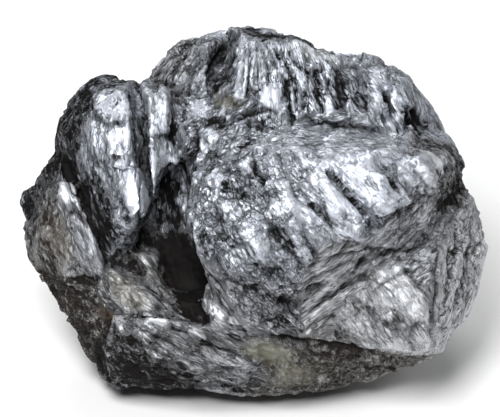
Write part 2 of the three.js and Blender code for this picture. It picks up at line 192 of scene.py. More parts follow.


# %% [markdown]
# ## Grain
#
# The lump is a knot of crystals, and in each area the flutes and flakes run their own way. One
# grain for the whole lump would be simpler, but it would look like wood. So each area is named
# here by a point on it, the way its grain runs, how strongly it is drawn out along the grain, how
# deep its flutes and flakes are, how polished it is, and how much brown earth clings to it. The
# polish also paints shade: below zero it darkens the gully and the faces that turn away from the
# light. Where the grain fans out, it runs from a centre instead. A point of the skin takes its
# grain from the nearest area, with a ragged border, and everything else shades over from one area
# to the next.

# %% Areas and their grain
Area = namedtuple("Area", "at run stretch flute flake polish earth")
CREST_FAN = (1.0, 62.0)  # right and up of the point that the crest's flutes spread from
FAN_RADIUS = 35  # mm from that point at which a flute has its true width
GRAIN_APART = 40  # keeps the grain of one area out of step with the next one's

AREAS = {
    # A polish below zero is painted shade: in the gully, and on the faces that turn away from the
    # light, the column's top and flank, the crest's rim, the lower left, the heel and the nub.
    # front, top to bottom
    "crest_left": Area((-14, 31, 2), "crest", 4, 0.5, 0.4, 0.14, 0.1),
    "crest_groove": Area((-8, 30, 4), "crest", 4, 0.6, 0.35, 0.34, 0),
    "crest": Area((5, 28, 11), "crest", 8, 1, 0.28, 1.2, 0),
    "crest_middle": Area((16, 26, 12), "crest", 8, 1, 0.28, 1.1, 0),
    "crest_right": Area((28, 24, 6), "crest", 7, 0.8, 0.28, 1.4, 0),
    "crest_rim": Area((6, 37.5, 1), (1, -0.2, 0), 2, 0.25, 0.2, -0.3, 0),
    "column_top": Area((-31, 27, 4), (1, 0.1, 0), 2, 0.3, 0.2, -0.1, 0),
    "column": Area((-29, 12, 18), (0.1, -1, 0), 3, 0.2, 0.36, 0.55, 0),
    "column_flank": Area((-39, 14, 2), (0.4, -1, 0), 3, 0.5, 0.22, -0.16, 0.05),
    "column_foot": Area((-29, -5, 13), (0.3, -1, 0), 2, 0.4, 0.35, 0.1, 0),
    "column_right": Area((-20, 20, 15), (0.1, -1, 0), 3, 0.3, 0.4, 0.35, 0),
    "gap": Area((-17, 3, 10), (0, -1, 0), 3, 0.4, 0.35, 0.2, 0),
    "saddle": Area((-7, 16, 15), (0.7, 0.6, 0), 2, 0.35, 0.5, 0.64, 0),
    "nose_top": Area((18, 15, 18), (1, -0.1, 0), 2.5, 0.25, 0.35, 0.55, 0),
    "nose": Area((20, 5, 29), (0.65, -0.75, 0), 2.5, 0.5, 0.28, 1.06, 0),
    "nose_end": Area((41, 9, 8), (0.5, -0.8, 0), 1.5, 0.3, 0.25, 0, 0.1),
    "nose_under": Area((33, -6, 15), (0.8, 0.6, 0), 3, 0.4, 0.3, 0.62, 0.08),
    "belly": Area((-3, 0, 26), (0.5, -0.8, 0), 1.6, 0.35, 0.5, 0.68, 0),
    "belly_low": Area((2, -10, 27), (0.5, -0.8, 0), 2.4, 0.4, 0.4, 0.56, 0),
    "apron": Area((1, -17, 23), (0.7, -0.7, 0), 2, 0.35, 0.45, 0.34, 0.06),
    "slab_band": Area((17, -14, 21), (0.8, 0.55, 0), 5, 0.5, 0.2, 0.54, 0.12),
    "slab": Area((26, -21, 18), (0.6, -0.8, 0), 3, 0.3, 0.24, 0.84, 0.12),
    "slab_side": Area((44, -12, 6), (0.3, 0.9, 0.1), 4, 0.6, 0.3, 1.2, 0.12),
    "shard": Area((-36, -5, 11), (0.4, -0.9, 0), 4, 0.4, 0.2, 0.38, 0.08),
    "shard_edge": Area((-44, -4, 3), (0.3, -1, 0), 2, 0.3, 0.2, 0.1, 0.2),
    "gully": Area((-16, -11, 3), (0.2, -1, 0), 3, 0.1, 0.05, -0.36, 0.03),
    "gully_side": Area((-21.5, -12.5, 6), (0.6, -0.7, 0), 4, 0.6, 0.2, 0.28, 0.16),
    "spur": Area((-26, -18, 14), (0.8, -0.6, 0), 3, 0.35, 0.3, 0.34, 0.1),
    "leaf": Area((-8, -21, 19), (0.7, -0.7, 0), 4, 0.2, 0.2, 0.1, 0.1),
    "lower_front": Area((-10, -30, 18), (0.85, -0.5, 0), 5, 0.5, 0.25, 0.24, 0.1),
    "lower_left": Area((-27, -31, 9), (0.8, -0.5, 0), 1.6, 0.3, 0.4, -0.26, 0.1),
    "underside": Area((18, -35, 8), (0.5, -0.8, 0), 3, 0.4, 0.35, 0.14, 0.3),
    "heel": Area((-39, -20, -1), (0.6, -0.7, 0), 1.3, 0.35, 0.6, -0.1, 0.3),
    "nub": Area((-49, 3, -7), (0.3, -1, 0), 1.3, 0.2, 0.15, -0.2, 0),
    # out of the viewer's sight
    "back_top": Area((10, 36, -5), (-0.1, 0.3, 1), 5, 0.5, 0.25, 0.74, 0),
    "back_shoulder": Area((30, 30, -3), (-0.2, 0.5, 0.9), 5, 0.5, 0.25, 0.64, 0),
    "back_plates": Area((3, 37, -12), (-0.1, 0.5, 0.9), 4, 0.3, 0.2, 0.79, 0),
    "back_ledge": Area((18, 32, -21), (-1, 0.1, 0.1), 4, 0.35, 0.25, 0.74, 0),
    "back_middle": Area((12, 25, -33), (-0.6, 0.4, 0.7), 2.5, 0.4, 0.4, 0.54, 0),
    "back_block": Area((-11, 36, -10), (-0.1, 0.5, 0.9), 4, 0.35, 0.25, 0.74, 0),
    "back_column": Area((-29, 28, -7), (0.1, 0.5, 0.9), 4, 0.4, 0.25, 0.64, 0),
    "back_hollow": Area((-18, 29, -23), (-0.4, 0.5, 0.9), 2, 0.4, 0.35, 0.29, 0),
    "back_foot": Area((0, 13, -40), (-0.9, 0.2, 0.3), 4, 0.45, 0.3, 0.59, 0.05),
    "back_corner": Area((-26, 9, -33), (-0.3, 0.5, 0.9), 3, 0.4, 0.3, 0.49, 0.1),
    "back_low_left": Area((26, 12, -39), (-0.8, -0.3, -0.4), 2.5, 0.4, 0.35, 0.44, 0.1),
    "right_middle": Area((36, 23, -4), (-0.5, 0.9, 0.2), 3, 0.3, 0.25, 0.74, 0),
    "right_low": Area((46, 0, -14), (0.4, -0.2, -0.9), 3, 0.4, 0.35, 0.49, 0.1),
    "right_back": Area((30, 20, -26), (-0.5, 0.8, 0.3), 4, 0.5, 0.3, 0.54, 0),
    "left_back": Area((-28, 21, -25), (0.5, 0.6, 0.6), 4, 0.4, 0.3, 0.59, 0),
    "left_low": Area((-46, 5, -13), (-0.2, -0.8, 0.6), 2, 0.4, 0.3, 0.24, 0.15),
    "sole": Area((0, -32, -22), (1, 0, 0.3), 2, 0.3, 0.4, 0.2, 0.3),
}
BORDER_RAGGEDNESS = ((7, 3.0), (2, 1.2))  # swells of this size move a border this far, mm
BORDER_BLEND = 1.4  # mm over which one area's look gives way to the next one's


# %% Each point's area and its place along the grain
def points_of(mesh):
    flat = np.empty(len(mesh.vertices) * 3)
    mesh.vertices.foreach_get("co", flat)
    return flat.reshape(-1, 3)


def normals_of(mesh):
    flat = np.empty(len(mesh.vertices) * 3)
    mesh.vertices.foreach_get("normal", flat)
    return flat.reshape(-1, 3)


def shares_of(view):
    """How much each point belongs to each area, one column for each area."""
    moved = view.copy()
    for size, reach in BORDER_RAGGEDNESS:
        moved += reach * np.stack([noise(view / size, seed) for seed in (1, 2, 3)], axis=1)
    gaps = np.stack([np.linalg.norm(moved - area.at, axis=1) for area in AREAS.values()], axis=1)
    shares = np.exp((gaps.min(axis=1, keepdims=True) - gaps) / BORDER_BLEND)
    return shares / shares.sum(axis=1, keepdims=True)


def grain_of(view, belongs):
    """Each point's place in its area: across the grain, along it (drawn in) and in depth."""
    grain = np.empty_like(view)
    for number, area in enumerate(AREAS.values()):
        chosen = belongs == number
        p = view[chosen]
        if area.run == "crest":
            right, up = p[:, 0] - CREST_FAN[0], CREST_FAN[1] - p[:, 1]
            across = np.arctan2(right, up) * FAN_RADIUS
            along = np.hypot(right, up)
            depth = p[:, 2]
        else:
            run = np.array(area.run, float) / np.linalg.norm(area.run)
            side = np.cross(run, (0, 0, 1.0))
            side /= np.linalg.norm(side)
            across, along, depth = p @ side, p @ run, p @ np.cross(side, run)
        grain[chosen] = np.stack([across, along / area.stretch, depth], axis=1)
        grain[chosen] += number * GRAIN_APART
    return grain


def of_area(shares, name):
    """One value of each point's area, such as its polish."""
    return shares @ np.array([getattr(area, name) for area in AREAS.values()])


rest = points_of(skin)
view = seen(rest)
shares = shares_of(view)
belongs = shares.argmax(axis=1)
grain = grain_of(view, belongs)
for number, name in enumerate(AREAS):
    print(f"{name}: {(belongs == number).sum()} points")

# %% [markdown]
# ## Cracks and ribs
#
# The larger lines of the broken faces each have their place, so noise can't draw them. They could
# be cut with thin blocks and booleans, but on a skin this fine those are slow and leave holes, so
# its points are pushed in or out along drawn strokes. A stroke is a path with a half width and a
# depth. A positive depth cuts a crack or a groove, and a negative one raises a rib. A step also
# lifts the face to the left of the stroke and drops the one to its right, both easing off over a
# few millimetres: the sharp ledge where one sheet of graphite breaks off over the next. A stroke
# tapers to both ends. Strokes are drawn as seen from four sides, by the degrees that the viewer
# has turned, and a face takes only those of the side it is turned to.

# %% Strokes
Stroke = namedtuple("Stroke", "path half_width depth step", defaults=[0])
STEP_REACH = 2.6  # mm over which a step eases off
STEP_END = 4  # times that reach, past which nothing is left of it
STROKE_WOBBLE = (2, 0.6)  # swells of this size move a path this far, mm
STROKE_ENDS = 0.04  # its very ends are as strong as this share of its length farther in
GROOVE_FLARE = 1.4  # how much wider a groove is at the surface than its named width
GROOVE_SHARPNESS = 1.3
FACING_GAIN = 3.0  # how fast a face takes up a side's drawing as it turns towards that side
FACING_START = 0.2  # holds the drawing back from faces that are nearly edge on
DRAWN_DEPTH = -10  # mm out of the lump's middle; what lies farther back is for the other sides
FRONT_STROKES = {
    "crack_left": Stroke([(-41, 13), (-38.6, 7), (-36.6, 2.4), (-34, -2.6), (-31.9, -9)], 0.55, 1.4),
    "column_groove": Stroke([(-22.9, 25), (-22.8, 18), (-22.6, 12), (-22, 6), (-20.6, -1)], 0.5, 1.2),
    "column_ledge_1": Stroke([(-34, 19.6), (-30, 18.4), (-26, 19.2)], 0.5, 0.7, 0.8),
    "column_ledge_2": Stroke([(-31, 9.6), (-28, 8.6), (-24.5, 9.6)], 0.5, 0.7, 0.9),
    "column_shade": Stroke([(-34, 22), (-33, 14), (-30, 6), (-28, -2)], 0.5, 0.7),
    "column_right_ledge": Stroke([(-22, 16), (-19.5, 15.4), (-17, 16.4)], 0.6, 0.9),
    "crest_groove": Stroke([(-3.5, 38.4), (-6.7, 34.6), (-9.3, 30), (-9, 25)], 0.8, 1.4),
    "crest_flute_1": Stroke([(7, 34), (7.3, 28), (7.8, 21.6)], 0.6, 1.4, 0.6),
    "crest_flute_2": Stroke([(10.8, 33), (11.8, 28), (12.4, 24)], 0.5, 1, 0.4),
    "crest_flute_3": Stroke([(13, 32.5), (14.2, 27), (14.8, 22)], 0.5, 1.1, 0.5),
    "crest_flute_4": Stroke([(17, 32), (17.9, 28), (19.6, 20.5)], 0.7, 1.5, 0.6),
    "crest_flute_5": Stroke([(1, 33), (0.6, 28), (0.8, 23)], 0.5, 0.9, 0.4),
    "crest_flute_6": Stroke([(-4.6, 33), (-5.4, 28), (-5, 24)], 0.5, 0.9, 0.4),
    "crest_flute_7": Stroke([(22.5, 26.5), (24, 22), (25.5, 18.5)], 0.7, 1.2),
    "crest_flute_8": Stroke([(26.5, 28), (28.5, 23), (30.2, 18.6)], 0.6, 0.8),
    "crest_line_1": Stroke([(-2.1, 33), (-2.25, 28.5), (-3, 24)], 0.4, 1, 0.3),
    "crest_line_2": Stroke([(2.7, 33), (2.7, 30), (3.1, 27)], 0.4, 1, 0.3),
    "crest_line_3": Stroke([(5.7, 30), (6.55, 26), (6.9, 22)], 0.4, 1, 0.3),
    "crest_line_4": Stroke([(8, 33), (9.2, 27.2), (10.8, 21.5)], 0.4, 1, 0.3),
    "crest_line_5": Stroke([(11.9, 31), (13.85, 26), (15.4, 21)], 0.4, 1, 0.3),
    "crest_line_6": Stroke([(14.5, 31.5), (16.6, 26.2), (19.1, 21)], 0.4, 1, 0.3),
    "crest_line_7": Stroke([(19.9, 27), (22.15, 23.3), (23.9, 19.6)], 0.4, 1, 0.3),
    "crest_line_8": Stroke([(23.7, 26), (25.8, 22.3), (28.3, 18.6)], 0.4, 1, 0.3),
    "crest_line_9": Stroke([(25.4, 27.5), (28.65, 23.2), (31.4, 19)], 0.4, 0.6, 0.3),
    "crest_line_10": Stroke([(30.7, 24), (32.9, 21), (35.4, 18)], 0.4, 1, 0.3),
    "crest_brow": Stroke([(-2, 36.4), (6, 35), (14, 33), (22, 32)], 0.9, -0.3),
    "ledge_crack": Stroke([(-3.5, 18.6), (-1.6, 20.6), (1, 21.6), (4.6, 20.8)], 0.6, 1.4, 0),
    "saddle_crack": Stroke([(-15, 8), (-12.5, 13), (-12, 18), (-14, 21)], 0.8, 1.2),
    "saddle_notch": Stroke([(-0.4, 12), (0.6, 8.5), (2.4, 5)], 0.8, 1.6),
    "crest_foot": Stroke([(5, 20.3), (12, 19.4), (20, 18.4), (29, 16.6)], 0.8, 1.2),
    "nose_rim": Stroke([(9, 9.3), (16, 10.2), (23, 11.2), (30, 12.8), (36, 13.4)], 0.9, -1),
    "nose_groove_1": Stroke([(8.9, 5.6), (11.5, 2.4), (13.9, -0.3), (17, -3.4)], 0.7, 1.05, 1.4),
    "nose_groove_2": Stroke([(14.6, 10), (17.5, 7.2), (20.2, 3.4), (24.2, -1.6)], 0.75, 1.2, 1.7),
    "nose_groove_3": Stroke([(26.8, 9.9), (29.4, 6.2), (31.9, 2.5)], 0.7, 1.1, 1.5),
    "nose_groove_4": Stroke([(32.4, 10.4), (35, 7), (37.4, 3)], 0.5, 0.7, 0.9),
    "nose_hole": Stroke([(32, 12.4), (34, 12.2)], 1.0, 1.8),
    "belly_groove_1": Stroke([(-5.5, -1), (-2.6, -5.6), (0, -11)], 0.6, 0.7, 0.8),
    "belly_groove_2": Stroke([(3, -1.8), (6, -6), (9.4, -10.6)], 0.7, 1.1, 1.1),
    "belly_groove_3": Stroke([(9.6, -3.8), (12, -7.4), (14.4, -11)], 0.6, 0.8, 0.7),
    "belly_groove_4": Stroke([(-12, 4), (-8, 1), (-6.4, -5)], 0.6, 0.6, 0.6),
    "belly_groove_5": Stroke([(-9, 11), (-5, 8), (-2, 8.6), (0, 5)], 0.6, 0.6, 0.6),
    "belly_pit": Stroke([(-0.6, -11.2), (1.2, -11.8)], 1.1, 1.8),
    "belly_pit_2": Stroke([(-5.6, -7), (-4.2, -7.8)], 0.9, 1.4),
    "saddle_step": Stroke([(-13, 17), (-9, 14), (-4, 15.4), (0, 13)], 0.5, 0.6, 0.7),
    "apron_step": Stroke([(-8, -13), (-3, -16), (4, -15.4)], 0.5, 0.6, 0.8),
    "apron_pit": Stroke([(5, -18.4), (8.2, -20)], 1.5, 2.2),
    "nose_foot": Stroke([(10, -12), (18, -9.5), (24, -8), (32, -8.6), (37, -6), (41, 1)], 0.5, 1),
    "slab_crack": Stroke([(4, -26.7), (9, -27.4), (15, -28.3), (20, -29), (25, -29.7)], 0.9, 3.2),
    "slab_strip_1": Stroke([(11, -19), (20, -13.4), (31, -8.4)], 0.7, -0.6),
    "slab_strip_2": Stroke([(12, -20.4), (20, -15.2), (27, -12)], 0.5, 0.6, 0.7),
    "slab_strip_3": Stroke([(9, -17), (16, -12.4), (22, -9.6)], 0.4, 0.5, 0.6),
    "slab_step_1": Stroke([(20.7, -17.9), (27.5, -23), (34.6, -28.6)], 0.45, 0.8, 0.9),
    "slab_step_2": Stroke([(26, -14), (31, -20), (35.5, -26)], 0.5, 0.5, 0.8),
    "slab_step_3": Stroke([(31, -11), (34, -15), (37, -18)], 0.6, 0.8),
    "slab_line_1": Stroke([(15, -21.4), (19, -24.8), (23, -28.4)], 0.4, 0.6, 0.5),
    "slab_line_2": Stroke([(25, -16.4), (31, -13.4), (37, -11.6)], 0.4, 0.7, 0.7),
    "slab_edge": Stroke([(39, -5), (39, -14), (38.6, -21), (37.6, -29)], 0.6, 0.9, -1),
    "side_strip_1": Stroke([(43.6, 2), (43.4, -8), (41, -20)], 0.5, 0.8, 0.6),
    "side_strip_2": Stroke([(47, -6), (45.4, -14), (42.5, -22)], 0.5, 0.7, 0.5),
    "shard_rib_1": Stroke([(-38.5, 0), (-36.6, -5), (-33.6, -9.6)], 0.5, 0.6, 0.6),
    "shard_rib_2": Stroke([(-40.6, 0), (-39.2, -6), (-36.4, -11.4)], 0.5, 0.7, 0.7),
    "shard_rib_3": Stroke([(-43, -3), (-41.6, -8.6), (-38.4, -13)], 0.5, 0.6, 0.6),
    "heel_crack": Stroke([(-46, -12.6), (-41, -15.4), (-36, -18.6), (-31, -21.2)], 0.6, 1.2),
    "heel_edge": Stroke([(-30.8, -21), (-30, -26), (-30.4, -31)], 0.6, 1.2),
    "gully_lip": Stroke([(-13.6, -18.6), (-12.6, -22), (-8.8, -24)], 0.5, 1),
    "front_step_1": Stroke([(-27, -23.5), (-18, -27.5), (-9, -32)], 0.5, 0.6, 0.8),
    "front_step_2": Stroke([(-18, -24), (-10, -27.5), (-2, -31)], 0.5, 0.5, 0.7),
    "front_step_3": Stroke([(-22, -31), (-14, -34.5), (-6, -37)], 0.5, 0.6, 0.7),
    "front_step_4": Stroke([(-26, -27), (-18, -31), (-10, -35)], 0.5, 0.5, 0.6),
}

# %% Strokes on the back and the two sides
BACK_STROKES = {
    "cleft": Stroke([(5.5, 25), (5.2, 16), (6, 9), (9, 3)], 0.7, 1.5, 0.6),
    "valley": Stroke([(19, 24), (19.5, 14), (22, 5), (24, -4)], 0.8, 1.5),
    "ledge_1": Stroke([(-33, 9.5), (-24, 12), (-15, 10), (-6, 11), (4, 9)], 0.5, 0.9, 1.4),
    "ledge_2": Stroke([(-27, -3), (-18, 0), (-10, -2), (-3, 0), (4, -4)], 0.5, 0.9, 1.2),
    "ledge_3": Stroke([(-30, -13), (-20, -17), (-8, -15.5), (3, -11), (14, -8)], 0.6, 1.2, 1.4),
    "flute_1": Stroke([(-34.6, 24), (-35.6, 19), (-34, 13)], 0.6, 1.1, 0.8),
    "flute_2": Stroke([(-28.9, 27), (-29.4, 20), (-27.6, 12)], 0.5, 1, 0.7),
    "flute_3": Stroke([(-22.4, 28), (-23, 22), (-21.4, 14)], 0.6, 1.2, 0.8),
    "flute_4": Stroke([(-17.4, 29), (-17, 24), (-17.8, 19)], 0.5, 0.9, 0.5),
    "flute_5": Stroke([(-13, 28), (-13.2, 22), (-11, 12)], 0.6, 1.2, 0.8),
    "flute_6": Stroke([(-6.4, 27), (-7.4, 22), (-6, 13)], 0.5, 1, 0.7),
    "flute_7": Stroke([(-0.2, 25), (-0.6, 20), (0.6, 12)], 0.5, 1, 0.6),
    "cross_1": Stroke([(-30, 21.6), (-23, 20), (-17, 21)], 0.4, 0.6, 0.7),
    "cross_2": Stroke([(-12, 20), (-6, 21.4), (0, 20)], 0.4, 0.6, 0.7),
    "slant_1": Stroke([(-24, 9), (-19, 4), (-16, -1)], 0.5, 0.8, 0.8),
    "slant_2": Stroke([(-12, 9), (-7, 4), (-5, -1)], 0.5, 0.8, 0.8),
    "slant_3": Stroke([(-22, -5), (-15, -9), (-11, -15)], 0.5, 0.9, 0.9),
    "slant_4": Stroke([(-8, -4), (-3, -8), (1, -12)], 0.5, 0.8, 0.8),
    "block_rib": Stroke([(12, 22), (12.6, 14), (15, 6)], 0.6, 1, 0.9),
    "column_rib": Stroke([(28, 26), (29, 16), (31, 4), (30, -4)], 0.6, 1, 1),
    "column_ledge": Stroke([(24, 8), (29, 6.4), (35, 8)], 0.5, 0.9, 1),
    "low_crack": Stroke([(-26, -21), (-14, -25), (-2, -26.5), (9, -21)], 0.6, 1.3, 0.8),
    "low_slant": Stroke([(-18, -24), (-12, -29), (-4, -33)], 0.5, 0.8, 0.9),
    "corner_seam": Stroke([(13, -11), (12, -20), (13, -32)], 0.7, 1.4),
    "corner_ledge_1": Stroke([(15, -12), (23, -14), (33, -10)], 0.5, 0.9, 1.2),
    "corner_ledge_2": Stroke([(17, -24), (25, -22), (34, -25)], 0.5, 0.8, 1),
    "corner_slant": Stroke([(24, -2), (27, -12), (25, -22)], 0.5, 0.8, 0.8),
}
RIGHT_STROKES = {
    "seam": Stroke([(-26, -7), (-13, -12), (0, -13.6), (9, -10)], 0.7, 1.4, 0.8),
    "fissure": Stroke([(2, -13), (8, -22), (15, -33)], 0.7, 1.6),
    "flute_1": Stroke([(-12, 20), (-6, 10), (3, 0)], 0.6, 1, 0.8),
    "flute_2": Stroke([(-2, 24), (3, 16), (8, 6)], 0.6, 1, 0.8),
    "flute_3": Stroke([(8, 26), (12, 18), (17, 6)], 0.6, 1, 0.8),
    "flute_4": Stroke([(17, 24), (20, 14), (24, 2)], 0.6, 1, 0.8),
    "ledge": Stroke([(-2, 9), (6, 11), (16, 9)], 0.5, 0.8, 1),
    "low_1": Stroke([(-22, -15), (-19, -25), (-16, -35)], 0.5, 0.8, 0.8),
    "low_2": Stroke([(-12, -15), (-8, -26), (-3, -36)], 0.5, 0.8, 0.8),
    "low_3": Stroke([(22, -4), (24.6, -16), (22, -29)], 0.6, 1, 0.8),
}
LEFT_STROKES = {
    "seam": Stroke([(8, 36), (7, 24), (12, 10), (14, -4), (21, -20)], 0.7, 1.2),
    "flute_1": Stroke([(-20, 22), (-14, 10), (-12, -3), (-16, -15)], 0.6, 1, 0.8),
    "flute_2": Stroke([(-30, 14), (-26, 1), (-24, -14), (-22, -29)], 0.6, 1, 0.8),
    "ledge": Stroke([(-26, 7), (-18, 5), (-9, 8)], 0.5, 0.8, 1),
    "low_1": Stroke([(-10, -11), (0, -14), (9, -11)], 0.6, 1, 1),
    "low_2": Stroke([(-8, -24), (2, -28), (12, -25)], 0.5, 0.9, 0.9),
    "low_3": Stroke([(-30, -8), (-24, -12), (-15, -10)], 0.5, 0.8, 1),
}
STROKES = {0: FRONT_STROKES, 180: BACK_STROKES, 90: RIGHT_STROKES, 270: LEFT_STROKES}


# %% Cut the strokes
def stroke_relief(view, stroke):
    """How far the stroke raises each point by its cut or rib, and by its step."""
    path = np.array(stroke.path, float)
    legs = np.linalg.norm(np.diff(path, axis=0), axis=1)
    starts = np.concatenate([[0], np.cumsum(legs)])
    distance = np.full(len(view), np.inf)
    place = np.zeros(len(view))
    left = np.zeros(len(view))
    size, reach = STROKE_WOBBLE
    flat = view[:, :2] + reach * np.stack([noise(view / size, seed) for seed in (5, 6)], axis=1)
    for start, end, leg, before in zip(path, path[1:], legs, starts):
        way = (end - start) / leg
        t = np.clip((flat - start) @ way, 0, leg)
        off = flat - start - t[:, None] * way
        gap = np.linalg.norm(off, axis=1)
        closer = gap < distance
        distance[closer] = gap[closer]
        place[closer] = before + t[closer]
        left[closer] = np.sign(off @ (-way[1], way[0]))[closer]
    taper = np.sin(np.pi * np.clip(place / starts[-1], STROKE_ENDS, 1 - STROKE_ENDS)) ** 0.5
    width = stroke.half_width * (1 + taper) / 2 * GROOVE_FLARE
    cut = -stroke.depth * taper * np.clip(1 - distance / width, 0, 1) ** GROOVE_SHARPNESS
    step = stroke.step / 2 * taper * left * np.exp(-distance / STEP_REACH)
    return cut, step * (distance < STEP_END * STEP_REACH)


def claims_of(mesh, points):
    """For each side that is drawn on, how fully its drawing shows at each point."""
    claims = {}
    taken = np.zeros(len(points))
    for turn in STROKES:
        facing = normals_of(mesh) @ (spin(turn) @ OUT)
        claim = np.clip(facing * FACING_GAIN - FACING_START, 0, 1)
        claims[turn] = claim * (seen(points, turn)[:, 2] > DRAWN_DEPTH) * (1 - taken)
        taken = np.maximum(taken, claims[turn])
    return claims


claims = claims_of(skin, rest)
carved = np.zeros(len(rest))
stepped = np.zeros(len(rest))
for turn, strokes in STROKES.items():
    near = claims[turn] > 0
    places = seen(rest[near], turn)
    for stroke in strokes.values():
        cut, step = stroke_relief(places, stroke)
        carved[near] += cut * claims[turn][near]
        stepped[near] += step * claims[turn][near]
print("strokes cut up to", round(-carved.min(), 2), "mm")
